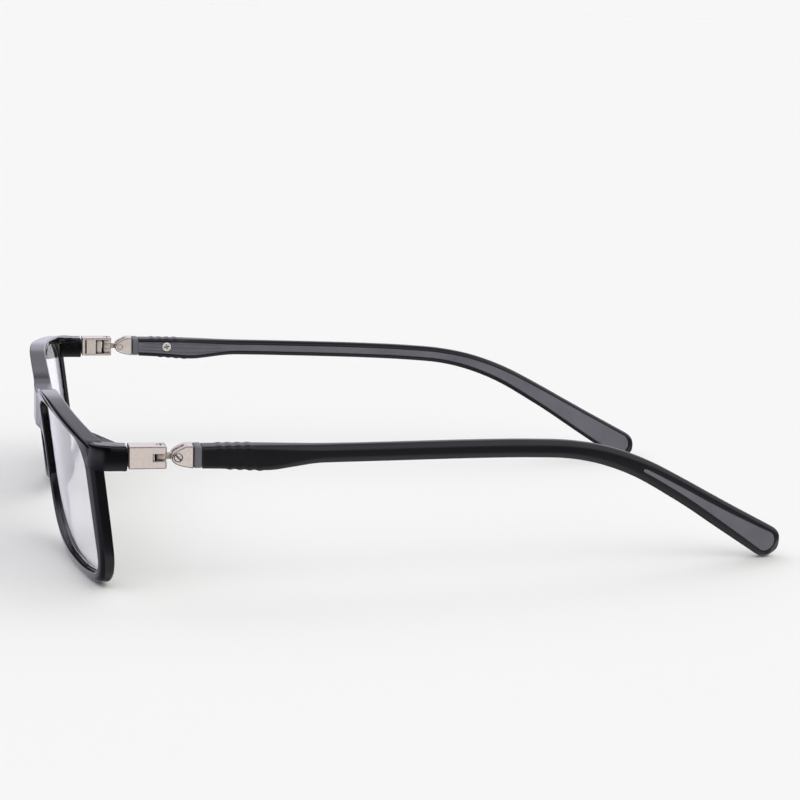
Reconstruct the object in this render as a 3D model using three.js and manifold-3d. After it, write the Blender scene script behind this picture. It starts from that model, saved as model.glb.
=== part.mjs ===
// Eyeglasses with a moulded front, two-axis metal hinges and two-material temples.
// Millimetres. +Z is up, +Y runs from the front back along the temples, +X is the wearer's left.
// The origin is on the table, under the middle of the whole object.
import * as THREE from "three";
import { mergeVertices } from "three/addons/utils/BufferGeometryUtils.js";
import Module from "manifold-3d";

const wasm = await Module();
wasm.setup();

// ------------------------------------------------------------------ driving dimensions
// The pieces are laid out with y = 0 at the front of the hinge housings.
const halfWidth = 70; // outer faces of the hinge housings
const hingeTop = 29.4; // top of the hinges above the table
const fullDepth = { front: -14.65, rear: 140.85 }; // the whole object, along y
const fitGap = 0.2; // between pieces of one body that are pressed or moulded together

const front = {
  faceY: -14.45, // front face beside the bridge, at faceZ
  faceZ: 29.5,
  tilt: 0.13, // how far the rims lean back for each millimetre downwards
  wrapStart: 17, // beyond this x the face curves back
  wrapScale: 405,
  cornerStart: 62, // and beyond this x it turns into the endpiece
  cornerScale: 60,
  depth: 3.3,
  browExtra: 0.3, // the brow is deeper than the rest, and the temporal side is thinner
  sideLess: 0.6,
  edge: 0.5, // bevel on the rim's edges
};
const rimDivisions = 56;
const bar = {
  browNasal: 2.6, browMiddle: 1.9, browTemporal: 1.7, middleX: 35, bottom: 2.0, nasal: 2.3, temporal: 2.6,
};
const groove = { depth: 0.85, front: 1.15, back: 2.55, floorFront: 1.5, floorBack: 2.2 };
const lens = { front: 1.22, back: 2.48, bevel: 0.55, rimFront: 1.66, rimBack: 2.04, setBack: 0.2 };
// The left lens opening in front view, as the [x, z] points of its lines and curves.
const opening = {
  nasal: 11.7,
  temporal: 64.9,
  bottom: 2.0,
  brow: { start: [34, 31.0], crest: [45, 31.2], end: [58, 29.6] },
  outer: { corner: [64.3, 28.8], top: [64.6, 24], low: [65.0, 7.0], turn: [65.0, 3.3], end: [61.4, 2.9] },
  under: { turn: [55.9, 2.0], start: [50, 2.0], end: [42, 2.0], sweep: [19, 3.4] },
  inner: { low: [13.5, 12], top: [11.7, 24.4], turn: [11.6, 27.0], end: [13.9, 27.6], sweep: [24, 30.7] },
};

const bridge = { halfSpan: 10.6, top: 28.5, bottom: 21.0, drop: 2.5, faceY: -14.65, depth: 3.7 };
bridge.endInset = 0.2; // how far its ends sink behind the rims' faces
bridge.endThinner = 0.6;
const noseRest = { bottom: 9.5, top: 19.5, reach: 2.6, root: 0.6, inset: 0.4, overhang: 0.7 };
const endpiece = { bottom: 24.6, rear: -0.3, inner: 65.3, bevel: 0.4, lap: 0.35, cornerX: 69.6, sideStart: -3.2 };
const fillet = { start: 60.8, rear: -1.5, bottom: 28.9, top: 29.4, lap: 0.3, turn: 0.9, reach: 1 };

const hinge = { width: 4.7, height: 4.35, length: 7.25, frontWall: 0.75, capWall: 0.4, outerWall: 0.9 };
hinge.x = halfWidth - hinge.width / 2;
hinge.z = hingeTop - hinge.height / 2;
const notch = { start: 4.6, halfHeight: 0.8 };
const foldAxis = 6.26; // y of the vertical pin
const tiltAxis = 9.49; // y of the lateral screw
const knuckle = { radius: 1.15, halfHeight: 0.65, gap: 0.08 };
const pin = { radius: 0.5, headRadius: 0.8, headHeight: 0.42, clearance: 0.06 };
const headSeat = { around: 0.08, under: 0.1, sunk: 0.03 }; // room round the heads of the pin and screw
const driverSlot = { halfWidth: 0.16, depth: 0.22 };
const tongue = { halfWidth: 0.9, halfHeight: 1.2, length: 4.5 };
const detent = { start: 1.15, end: 4.9, step: 3.4, stepDepth: 0.7, bore: 0.75, boreEnd: 3.6, room: 0.15 };
detent.outerRoom = 0.25;
detent.groove = { end: 3.7, depth: 1.3 };
const spring = { radius: 0.52, wire: 0.13, turns: 4, start: 0.95, end: 3.4 };
const neck = { half: 0.57, eyeRadius: 1.1, eyeHalf: 0.6, lap: 0.35 };
const clevis = {
  nose: 8.24, shoulder: 11.0, end: 12.48, slotHalf: 0.7, slotEnd: 10.72,
  // How far the ears' outline is below the top: over the screw, at the nose, and at the heel behind it.
  crown: 0.6, noseTop: 1.3, noseMiddle: 2.47, noseLow: 3.5, heel: 4.05, heelBehind: 1.2,
};
const tiltScrew = { radius: 0.45, headRadius: 0.75, headHeight: 0.5, tailRadius: 0.62, tailHeight: 0.3 };
const tang = { inner: -1.0, outer: 0.0, halfHeight: 1.0, end: 25.5 };

const collar = { start: 12.6, end: 14.0 };
const sleeve = { start: 14.2, skin: 1.0, border: 0.92, frontBorder: 0.78 };
const tipWindow = { start: 107, startHalf: 0.45, endBorder: 1.15 };
const templeScrew = { y: 21.2, end: 0.2, radius: 0.6, headRadius: 1.15, headHeight: 0.5, clearance: 0.1 };
const overrun = 1; // how far a cutting shape passes the face that it opens
const through = 5; // and one that goes right across the hinge

// Middle of the temple's height, from the hinge to the end of the tip, as [y, z].
const spinePoints = [
  [14, 27.12], [30, 27.07], [50, 26.95], [70, 26.75], [82, 26.4], [91, 25.75],
  [98.5, 24.2], [106.5, 21.25], [116, 16.2], [128, 9.1], [140.4, 1.85],
];
// Half heights above and below the spine, and half thickness, each as [y, value].
const upperHalf = [[14, 2.15], [24, 2.15], [37, 1.85], [92, 1.85], [106, 2.1], [120, 2.5], [138, 3.45]];
const lowerHalf = [[14, 2.2], [20, 2.45], [27.8, 3.05], [37, 1.8], [92, 1.85], [106, 2.1], [120, 2.5], [138, 3.45]];
const halfThickness = [[14, 2.3], [22, 2.1], [45, 1.5], [110, 1.45], [141, 1.35]];
const ribs = { first: 17.4, pitch: 1.9, count: 4, height: 0.22 };

// ------------------------------------------------------------------ small helpers
function lookUp(table, at) {
  const last = table.length - 1;
  if (at <= table[0][0]) return table[0][1];
  for (let i = 0; i < last; i++) {
    const [a, b] = [table[i], table[i + 1]];
    if (at <= b[0]) return THREE.MathUtils.lerp(a[1], b[1], (at - a[0]) / (b[0] - a[0]));
  }
  return table[last][1];
}

function signedVolume(geometry) {
  const p = geometry.attributes.position;
  const index = geometry.index.array;
  const [a, b, c] = [new THREE.Vector3(), new THREE.Vector3(), new THREE.Vector3()];
  let sum = 0;
  for (let i = 0; i < index.length; i += 3) {
    a.fromBufferAttribute(p, index[i]);
    b.fromBufferAttribute(p, index[i + 1]);
    c.fromBufferAttribute(p, index[i + 2]);
    sum += a.dot(b.cross(c));
  }
  return sum;
}

function turnedOut(geometry) {
  if (signedVolume(geometry) < 0) geometry.index.array.reverse();
  geometry.computeVertexNormals();
  return geometry;
}

// A closed body through outlines of equal length. A loop joins its last outline to its first.
function loft(outlines, loop = false) {
  const count = outlines[0].length;
  const index = [];
  const bands = loop ? outlines.length : outlines.length - 1;
  for (let r = 0; r < bands; r++) {
    const here = r * count;
    const next = ((r + 1) % outlines.length) * count;
    for (let k = 0; k < count; k++) {
      const k2 = (k + 1) % count;
      index.push(here + k, here + k2, next + k2, here + k, next + k2, next + k);
    }
  }
  if (!loop) {
    const end = bands * count;
    for (let k = 1; k < count - 1; k++) {
      index.push(0, k + 1, k, end, end + k, end + k + 1);
    }
  }
  const geometry = new THREE.BufferGeometry();
  geometry.setAttribute("position", new THREE.Float32BufferAttribute(outlines.flat(2), 3));
  geometry.setIndex(index);
  return turnedOut(geometry);
}

function withSharedVertices(geometry) {
  const bare = geometry.clone();
  bare.deleteAttribute("normal");
  bare.deleteAttribute("uv");
  return mergeVertices(bare, 1e-4);
}

function solid(geometry) {
  const merged = withSharedVertices(geometry);
  return new wasm.Manifold(new wasm.Mesh({
    numProp: 3,
    vertProperties: merged.attributes.position.array,
    triVerts: new Uint32Array(merged.index.array),
  }));
}

function geometryOf(body) {
  const mesh = body.getMesh();
  const geometry = new THREE.BufferGeometry();
  geometry.setAttribute("position", new THREE.BufferAttribute(mesh.vertProperties, 3));
  geometry.setIndex(Array.from(mesh.triVerts));
  geometry.computeVertexNormals();
  return geometry;
}

const joined = (first, ...rest) => rest.reduce((sum, piece) => sum.add(solid(piece)), solid(first));
const cut = (body, ...tools) => tools.reduce((left, tool) => left.subtract(solid(tool)), body);

function mirrored(geometry) {
  return turnedOut(withSharedVertices(geometry).scale(-1, 1, 1));
}

// Hinge pieces are laid out from the hinge's own middle line: a outward, b rearward, c up.
function block(a0, a1, b0, b1, c0, c1) {
  const box = new THREE.BoxGeometry(a1 - a0, b1 - b0, c1 - c0);
  return box.translate(hinge.x + (a0 + a1) / 2, (b0 + b1) / 2, hinge.z + (c0 + c1) / 2);
}

function uprightRod(radius, b, c0, c1, sides = 20) {
  const rod = new THREE.CylinderGeometry(radius, radius, c1 - c0, sides).rotateX(Math.PI / 2);
  return rod.translate(hinge.x, b, hinge.z + (c0 + c1) / 2);
}

function lateralRod(radius, a0, a1, b, c = 0, sides = 20) {
  const rod = new THREE.CylinderGeometry(radius, radius, a1 - a0, sides).rotateZ(Math.PI / 2);
  return rod.translate(hinge.x + (a0 + a1) / 2, b, hinge.z + c);
}

// ------------------------------------------------------------------ the front
function faceY(x) {
  const wrap = Math.max(0, Math.abs(x) - front.wrapStart);
  const corner = Math.max(0, Math.abs(x) - front.cornerStart);
  return front.faceY + (wrap * wrap) / front.wrapScale + (corner * corner) / front.cornerScale;
}

// A point of the front, from its place in front view and its depth behind the face.
function onFront(x, z, depth) {
  return [x, faceY(x) + (front.faceZ - z) * front.tilt + depth, z];
}

function openingPath() {
  const { brow, outer, under, inner } = opening;
  const path = new THREE.Path();
  path.moveTo(...brow.start);
  path.quadraticCurveTo(...brow.crest, ...brow.end);
  path.quadraticCurveTo(...outer.corner, ...outer.top);
  path.lineTo(...outer.low);
  path.quadraticCurveTo(...outer.turn, ...outer.end);
  path.quadraticCurveTo(...under.turn, ...under.start);
  path.lineTo(...under.end);
  path.quadraticCurveTo(...under.sweep, ...inner.low);
  path.lineTo(...inner.top);
  path.quadraticCurveTo(...inner.turn, ...inner.end);
  path.quadraticCurveTo(...inner.sweep, ...brow.start);
  return path;
}

function barWidth(point, outward) {
  const brow = point.x < bar.middleX
    ? THREE.MathUtils.mapLinear(point.x, opening.nasal, bar.middleX, bar.browNasal, bar.browMiddle)
    : THREE.MathUtils.mapLinear(point.x, bar.middleX, opening.temporal, bar.browMiddle, bar.browTemporal);
  const side = outward.x > 0 ? bar.temporal : bar.nasal;
  const level = outward.y > 0 ? brow : bar.bottom;
  return side * outward.x ** 2 + level * outward.y ** 2;
}

// Places round one opening, each with its outward direction and the rim's width there.
function openingStations(divisions) {
  const path = openingPath();
  const wrapped = (share) => path.getPointAt((share + 1) % 1);
  return Array.from({ length: divisions }, (_, i) => {
    const point = wrapped(i / divisions);
    const along = wrapped((i + 0.2) / divisions).sub(wrapped((i - 0.2) / divisions)).normalize();
    const outward = new THREE.Vector2(-along.y, along.x);
    return { point, outward, width: barWidth(point, outward) };
  });
}

// A point of the rim, from its distance out from the opening's edge and its depth.
function onRim({ point, outward }, out, depth) {
  return onFront(point.x + outward.x * out, point.y + outward.y * out, depth);
}

function rimSection(station) {
  const { width, outward } = station;
  const { edge } = front;
  const depth = front.depth + front.browExtra * Math.max(0, outward.y) - front.sideLess * Math.max(0, outward.x);
  const section = [
    [0, groove.front], [0, edge], [edge, 0], [width - edge, 0], [width, edge], [width, depth - edge],
    [width - edge, depth], [edge, depth], [0, depth - edge * 0.8], [0, groove.back],
    [groove.depth, groove.floorBack], [groove.depth, groove.floorFront],
  ];
  return section.map(([out, at]) => onRim(station, out, at));
}

const rimStations = openingStations(rimDivisions);

// The bridge stands a little proud of the rims, upright, and dips below their tops.
function bridgeGeometry() {
  const { edge } = front;
  const steps = 12;
  const sections = Array.from({ length: steps + 1 }, (_, i) => {
    const x = THREE.MathUtils.lerp(-bridge.halfSpan, bridge.halfSpan, i / steps);
    const middle = Math.cos((Math.PI / 2) * (x / bridge.halfSpan));
    const top = bridge.top;
    const bottom = THREE.MathUtils.lerp(bridge.bottom - bridge.drop, bridge.bottom, middle);
    const rimFace = (z) => faceY(x) + (front.faceZ - z) * front.tilt + bridge.endInset;
    const ahead = (z) => THREE.MathUtils.lerp(rimFace(z), bridge.faceY, THREE.MathUtils.smoothstep(middle, 0, 0.6));
    const behind = (z) => ahead(z) + bridge.depth - bridge.endThinner * (1 - middle);
    return [
      [x, ahead(top - edge), top - edge], [x, ahead(top) + edge, top], [x, behind(top) - edge, top],
      [x, behind(top - edge), top - edge], [x, behind(bottom + edge), bottom + edge],
      [x, behind(bottom) - edge, bottom], [x, ahead(bottom) + 2 * edge, bottom],
      [x, ahead(bottom + 2 * edge), bottom + 2 * edge],
    ];
  });
  return loft(sections);
}

// The block behind the front's corner that carries the hinge.
function endpieceGeometry() {
  const outer = halfWidth - 0.1;
  const { inner, rear, bottom, bevel, lap, cornerX, sideStart } = endpiece;
  const shape = new THREE.Shape();
  shape.moveTo(inner, faceY(inner) + lap);
  shape.quadraticCurveTo(cornerX, faceY((inner + outer) / 2), outer, sideStart);
  shape.lineTo(outer, rear);
  shape.lineTo(inner, rear);
  shape.closePath();
  const geometry = new THREE.ExtrudeGeometry(shape, {
    depth: hingeTop - bottom - 2 * bevel,
    bevelThickness: bevel,
    bevelSize: bevel,
    bevelOffset: -bevel,
    bevelSegments: 1,
    curveSegments: 6,
  });
  return geometry.translate(0, 0, bottom + bevel);
}

// The fillet that runs from the back of the brow into the endpiece's inner side.
function filletGeometry() {
  const { inner } = endpiece;
  const shape = new THREE.Shape();
  const { start, lap, turn, reach, rear } = fillet;
  shape.moveTo(start, faceY(start) + front.depth - lap);
  shape.quadraticCurveTo(inner - turn, faceY(inner) + front.depth + lap, inner, rear);
  shape.lineTo(inner + reach, rear);
  shape.lineTo(inner + reach, faceY(inner) + front.depth - reach);
  shape.closePath();
  const depth = fillet.top - fillet.bottom;
  const geometry = new THREE.ExtrudeGeometry(shape, { depth, bevelEnabled: false, curveSegments: 5 });
  return geometry.translate(0, 0, fillet.bottom);
}

// A low pad moulded on the back of the rim's nasal side.
function noseRestGeometry() {
  const stations = rimStations.filter(({ point, outward }) => {
    return outward.x < -0.8 && point.y > noseRest.bottom && point.y < noseRest.top;
  });
  const sections = stations.map((station) => {
    const along = (station.point.y - noseRest.bottom) / (noseRest.top - noseRest.bottom);
    const swell = 0.15 + 0.85 * Math.sin(Math.PI * THREE.MathUtils.clamp(along, 0, 1));
    const { reach, inset, overhang } = noseRest;
    const root = front.depth - noseRest.root;
    const { width } = station;
    return [
      onRim(station, inset, root), onRim(station, width - inset, root),
      onRim(station, width + overhang * swell, front.depth + 0.35 * reach * swell),
      onRim(station, width * 0.75, front.depth + reach * swell),
      onRim(station, inset, front.depth + 0.5 * reach * swell),
    ];
  });
  return loft(sections);
}

function frontGeometry() {
  const rim = loft(rimStations.map(rimSection), true);
  const half = [rim, endpieceGeometry(), filletGeometry(), noseRestGeometry()];
  const whole = joined(...half, ...half.map(mirrored), bridgeGeometry());
  const room = fitGap;
  const socket = block(
    -tongue.halfWidth - room, tongue.halfWidth + room, -tongue.length - room, overrun,
    -tongue.halfHeight - room, tongue.halfHeight + room,
  );
  return geometryOf(cut(whole, socket, mirrored(socket)));
}

// ------------------------------------------------------------------ lenses
function lensGeometry() {
  const middle = new THREE.Vector2((opening.nasal + opening.temporal) / 2, (hingeTop + opening.bottom) / 2);
  const ringAt = (offset, depth, scale = 1) => rimStations.map(({ point, outward }) => {
    const edge = new THREE.Vector2(point.x + outward.x * offset, point.y + outward.y * offset);
    const at = edge.sub(middle).multiplyScalar(scale).add(middle);
    return onFront(at.x, at.y, depth);
  });
  const scales = [0.15, 0.45, 0.75];
  const frontFace = scales.map((scale) => ringAt(-lens.setBack, lens.front, scale));
  const backFace = scales.map((scale) => ringAt(-lens.setBack, lens.back, scale)).reverse();
  return loft([
    ...frontFace, ringAt(-lens.setBack, lens.front), ringAt(lens.bevel, lens.rimFront),
    ringAt(lens.bevel, lens.rimBack), ringAt(-lens.setBack, lens.back), ...backFace,
  ]);
}

// ------------------------------------------------------------------ hinges
function housingGeometry() {
  const half = { a: hinge.width / 2, c: hinge.height / 2 };
  const inside = half.c - hinge.capWall;
  const behind = hinge.length + overrun;
  const shell = block(-half.a, half.a, 0, hinge.length, -half.c, half.c);
  const cavity = block(-half.a - overrun, half.a - hinge.outerWall, hinge.frontWall, behind, -inside, inside);
  const sideNotch = block(0, half.a + overrun, notch.start, behind, -notch.halfHeight, notch.halfHeight);
  const bossStart = knuckle.halfHeight + knuckle.gap;
  const bossEnd = inside + hinge.capWall / 2;
  const upperBoss = uprightRod(knuckle.radius, foldAxis, bossStart, bossEnd);
  const lowerBoss = uprightRod(knuckle.radius, foldAxis, -bossEnd, -bossStart);
  const { halfWidth: across, halfHeight: up } = tongue;
  const anchor = block(-across, across, -tongue.length, hinge.frontWall / 2, -up, up);
  const bore = uprightRod(pin.radius + pin.clearance, foldAxis, -half.c - overrun, half.c + overrun);
  const seatFloor = half.c - headSeat.sunk - pin.headHeight - headSeat.under;
  const seat = uprightRod(pin.headRadius + headSeat.around, foldAxis, seatFloor, half.c + overrun);
  const shellCut = cut(solid(shell), cavity, sideNotch);
  const whole = [upperBoss, lowerBoss, anchor].reduce((sum, piece) => sum.add(solid(piece)), shellCut);
  return geometryOf(cut(whole, bore, seat));
}

// The sprung block that holds the temple open. Its inner side is stepped back to let the clevis swing past.
function detentBlockGeometry() {
  const outer = hinge.width / 2 - hinge.outerWall - detent.outerRoom;
  const half = hinge.height / 2 - hinge.capWall - detent.room;
  const inner = -hinge.width / 2;
  const far = half + overrun;
  const body = block(inner, outer, detent.start, detent.end, -half, half);
  const step = block(inner - overrun, inner + detent.stepDepth, detent.step, detent.end + overrun, -far, far);
  const line = block(inner - overrun, inner + detent.groove.depth, detent.step, detent.groove.end, -far, far);
  const bore = new THREE.CylinderGeometry(detent.bore, detent.bore, detent.boreEnd - detent.start + overrun, 16);
  bore.translate(hinge.x, (detent.start - overrun + detent.boreEnd) / 2, hinge.z);
  return geometryOf(cut(solid(body), step, line, bore));
}

class Helix extends THREE.Curve {
  getPoint(t, target = new THREE.Vector3()) {
    const angle = 2 * Math.PI * spring.turns * t;
    const x = hinge.x + spring.radius * Math.cos(angle);
    const z = hinge.z + spring.radius * Math.sin(angle);
    return target.set(x, THREE.MathUtils.lerp(spring.start, spring.end, t), z);
  }
}

function springGeometry() {
  const wire = new THREE.Shape().absarc(0, 0, spring.wire, 0, 2 * Math.PI);
  const steps = 8 * spring.turns;
  return new THREE.ExtrudeGeometry(wire, { extrudePath: new Helix(), steps, curveSegments: 3 });
}

function hingePinGeometry() {
  const top = hinge.height / 2 - headSeat.sunk;
  const { halfWidth: wide, depth } = driverSlot;
  const head = uprightRod(pin.headRadius, foldAxis, top - pin.headHeight, top);
  const shank = uprightRod(pin.radius, foldAxis, -hinge.height / 2 + headSeat.under, top - pin.headHeight / 2);
  const slot = block(-through, through, foldAxis - wide, foldAxis + wide, top - depth, top + overrun);
  return geometryOf(cut(joined(head, shank), slot));
}

function linkGeometry() {
  const barrel = uprightRod(knuckle.radius, foldAxis, -knuckle.halfHeight, knuckle.halfHeight, 24);
  const { half, eyeRadius, eyeHalf, lap } = neck;
  const shaftStart = foldAxis + knuckle.radius - lap;
  const shaft = block(-half, half, shaftStart, tiltAxis - eyeRadius + lap, -half, half);
  const eye = lateralRod(eyeRadius, -eyeHalf, eyeHalf, tiltAxis, 0, 24);
  const pinBore = uprightRod(pin.radius + pin.clearance, foldAxis, -through, through);
  const screwBore = lateralRod(tiltScrew.radius + pin.clearance, -through, through, tiltAxis);
  return geometryOf(cut(joined(barrel, shaft, eye), pinBore, screwBore));
}

function clevisGeometry() {
  const top = hinge.height / 2;
  const { nose, shoulder, end, crown, noseTop, noseMiddle, noseLow, heel, heelBehind } = clevis;
  const crownY = tiltAxis + 0.24;
  const heelY = tiltAxis + heelBehind;
  const shape = new THREE.Shape();
  shape.moveTo(end, top);
  shape.lineTo(shoulder, top);
  shape.lineTo(crownY, top - crown);
  shape.quadraticCurveTo(nose, top - noseTop, nose, top - noseMiddle);
  shape.quadraticCurveTo(nose + 0.1, top - noseLow, heelY, top - heel);
  shape.lineTo(end, -top);
  shape.closePath();
  // The outline is drawn as (y, z); the turn sends its depth along x.
  const ears = new THREE.ExtrudeGeometry(shape, { depth: hinge.width, bevelEnabled: false, curveSegments: 8 });
  ears.applyMatrix4(new THREE.Matrix4().set(0, 0, 1, 0, 1, 0, 0, 0, 0, 1, 0, 0, 0, 0, 0, 1));
  ears.translate(hinge.x - hinge.width / 2, 0, hinge.z);
  const { inner, outer, halfHeight } = tang;
  const body = joined(ears, block(inner, outer, end - 0.3, tang.end, -halfHeight, halfHeight));
  const half = hinge.width / 2;
  const { radius, headRadius, headHeight, tailRadius, tailHeight } = tiltScrew;
  const { around, under } = headSeat;
  return geometryOf(cut(
    body,
    block(-clevis.slotHalf, clevis.slotHalf, 0, clevis.slotEnd, -through, through),
    lateralRod(radius + pin.clearance, -through, through, tiltAxis),
    lateralRod(headRadius + around, half - headHeight - under, half + overrun, tiltAxis),
    lateralRod(tailRadius + around, -half - overrun, -half + tailHeight + under, tiltAxis),
    lateralRod(templeScrew.radius + templeScrew.clearance, -through, through, templeScrew.y),
  ));
}

function tiltScrewGeometry() {
  const outer = hinge.width / 2 - headSeat.sunk;
  const { radius, headRadius, headHeight, tailRadius, tailHeight } = tiltScrew;
  const { halfWidth: wide, depth } = driverSlot;
  const head = lateralRod(headRadius, outer - headHeight, outer, tiltAxis);
  const shank = lateralRod(radius, -outer + tailHeight / 2, outer - headHeight / 2, tiltAxis);
  const tail = lateralRod(tailRadius, -outer, -outer + tailHeight, tiltAxis);
  const slot = new THREE.BoxGeometry(2 * depth, 4 * headRadius, 2 * wide).rotateX(Math.PI / 4);
  slot.translate(hinge.x + outer, tiltAxis, hinge.z);
  return geometryOf(cut(joined(head, shank, tail), slot));
}

// ------------------------------------------------------------------ temples
const spine = new THREE.CatmullRomCurve3(spinePoints.map(([y, z]) => new THREE.Vector3(0, y, z)), false, "centripetal");

// The temple's outer face, which turns in towards the ear.
function outerX(y) {
  const run = y - collar.end;
  return halfWidth - 0.1 - 0.075 * run - 0.00051 * run * run;
}

function ribAt(y) {
  const turn = (y - ribs.first) / ribs.pitch;
  if (turn < 0 || turn > ribs.count) return 0;
  return ribs.height * Math.sin(Math.PI * turn) ** 2;
}

// Everything about the temple's cross-section at one place along the spine.
function templeStation(along) {
  const at = spine.getPointAt(along);
  const direction = spine.getTangentAt(along);
  const remaining = spine.getLength() * (1 - along);
  const roundEnd = 3.6;
  const closing = remaining < roundEnd ? Math.sqrt(1 - (1 - remaining / roundEnd) ** 2) : 1;
  const rib = ribAt(at.y);
  return {
    y: at.y,
    z: at.z,
    up: new THREE.Vector2(-direction.z, direction.y),
    above: (lookUp(upperHalf, at.y) + rib) * closing,
    below: (lookUp(lowerHalf, at.y) + rib) * closing,
    half: lookUp(halfThickness, at.y),
    outer: outerX(at.y) + rib * 0.5,
    closing,
  };
}

// A point of the temple, from its distance in from the outer face and its height above the spine.
function onTemple(station, inward, height) {
  return [station.outer - inward, station.y + station.up.x * height, station.z + station.up.y * height];
}

function alongOf(y) {
  let [low, high] = [0, 1];
  for (let i = 0; i < 30; i++) {
    const middle = (low + high) / 2;
    if (spine.getPointAt(middle).y < y) low = middle;
    else high = middle;
  }
  return (low + high) / 2;
}

function stationsBetween(start, end, step) {
  const count = Math.max(1, Math.round((end - start) / step));
  return Array.from({ length: count }, (_, i) => THREE.MathUtils.lerp(start, end, i / count));
}

const ribPlaces = stationsBetween(ribs.first, ribs.first + ribs.pitch * ribs.count, ribs.pitch / 2);
const templePlaces = [
  sleeve.start, 16, ...ribPlaces, 25, 27.8, 32.4, 37, ...stationsBetween(45, 85, 8),
  ...stationsBetween(85, 137, 4.0),
];
const endPlaces = [0.977, 0.985, 0.991, 0.996, 0.9985];
const lengthwise = [...templePlaces.map(alongOf), ...endPlaces];

function outerSection(along) {
  const s = templeStation(along);
  const full = 2 * s.half;
  const soft = THREE.MathUtils.smoothstep(s.y, 16, 42);
  const drop = THREE.MathUtils.lerp(0.45, 1.05, soft) * s.closing;
  const across = THREE.MathUtils.lerp(0.4, 0.75, soft);
  return [
    onTemple(s, 0, s.above - drop), onTemple(s, across, s.above), onTemple(s, full - across, s.above),
    onTemple(s, full, s.above - drop * 0.6), onTemple(s, full, -s.below + drop * 0.6),
    onTemple(s, full - across, -s.below), onTemple(s, across, -s.below), onTemple(s, 0, -s.below + drop),
  ];
}

function borderAt(y) {
  return THREE.MathUtils.lerp(sleeve.frontBorder, sleeve.border, THREE.MathUtils.smoothstep(y, 25, 40));
}

// The hollow on the temple's inner side, or, with a gap, the core that fills it.
function channelGeometry(gap) {
  const start = gap ? collar.end - 0.3 : sleeve.start - 1;
  const places = [alongOf(start), ...lengthwise.filter((along) => along < 0.985)];
  if (gap === 0) places.push(0.985);
  else places.push(0.983);
  const sections = places.map((along) => {
    const s = templeStation(along);
    const border = borderAt(s.y) + gap;
    const floor = sleeve.skin + gap;
    const face = 2 * s.half + (gap ? -0.05 : 1);
    const rib = ribAt(s.y);
    const above = (s.above - rib) / s.closing - border;
    const below = (s.below - rib) / s.closing - border;
    return [
      onTemple(s, floor, above), onTemple(s, face, above), onTemple(s, face, -below), onTemple(s, floor, -below),
    ];
  });
  return loft(sections);
}

// The window near the tip where the core shows on the outer side.
function windowGeometry(gap) {
  const end = 0.983;
  const start = alongOf(tipWindow.start);
  const steps = 9;
  const sections = [];
  for (let i = 0; i <= steps; i++) {
    const share = i / steps;
    const along = THREE.MathUtils.lerp(start, end, share) + (i === 0 ? gap : -gap * share) * 0.0012;
    const s = templeStation(along);
    const full = s.above / s.closing - tipWindow.endBorder;
    const rounding = i === steps ? 0.55 : 1;
    const half = THREE.MathUtils.lerp(tipWindow.startHalf, full, share) * rounding - gap;
    const face = gap ? 0.05 : -1;
    const floor = sleeve.skin + gap + 0.3;
    sections.push([
      onTemple(s, face, half), onTemple(s, floor, half), onTemple(s, floor, -half), onTemple(s, face, -half),
    ]);
  }
  return loft(sections);
}

function sleeveGeometry() {
  const body = solid(loft(lengthwise.map(outerSection)));
  return geometryOf(cut(body, channelGeometry(0), windowGeometry(0)));
}

function coreGeometry() {
  const half = hinge.height / 2;
  const ring = block(-hinge.width / 2 + 0.05, hinge.width / 2 - 0.05, collar.start, collar.end, -half, half);
  const body = joined(channelGeometry(fitGap), ring, windowGeometry(fitGap));
  const room = fitGap;
  const screwFace = outerX(templeScrew.y) - 2 * lookUp(halfThickness, templeScrew.y) - hinge.x;
  return geometryOf(cut(
    body,
    block(tang.inner - room, tang.outer + room, collar.start - 1, tang.end + room,
      -tang.halfHeight - room, tang.halfHeight + room),
    lateralRod(templeScrew.radius + 0.1, screwFace - 1, templeScrew.end + 0.2, templeScrew.y),
    lateralRod(templeScrew.headRadius + 0.1, screwFace - 1, screwFace + templeScrew.headHeight + 0.1, templeScrew.y),
  ));
}

function templeScrewGeometry() {
  const face = outerX(templeScrew.y) - 2 * lookUp(halfThickness, templeScrew.y) - hinge.x;
  const head = lateralRod(templeScrew.headRadius, face, face + templeScrew.headHeight, templeScrew.y);
  const shank = lateralRod(templeScrew.radius, face + 0.2, templeScrew.end, templeScrew.y);
  const slots = [0, Math.PI / 2].map((turn) => {
    const bar = new THREE.BoxGeometry(0.6, 1.4, 0.3).rotateX(turn);
    return bar.translate(hinge.x + face, templeScrew.y, hinge.z);
  });
  return geometryOf(cut(joined(head, shank), ...slots));
}

// ------------------------------------------------------------------ materials and assembly
const material = (color, roughness, metalness = 0, more = {}) => {
  return new THREE.MeshStandardMaterial({ color, roughness, metalness, ...more });
};
const blackGloss = material(0x121214, 0.25);
const clear = material(0xe9eef4, 0.05, 0, { transparent: true, opacity: 0.3 });
const nickel = material(0xc9b8ae, 0.38, 1);
const bright = material(0xd8d6d2, 0.25, 1);
const greyCore = material(0x64626c, 0.6);
const blackRubber = material(0x1b1b1f, 0.7);

const model = new THREE.Group();
model.position.y = -(fullDepth.front + fullDepth.rear) / 2;

function addPiece(name, geometry, finish) {
  const mesh = new THREE.Mesh(geometry, finish);
  mesh.name = name;
  model.add(mesh);
}

addPiece("front_frame", frontGeometry(), blackGloss);

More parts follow.
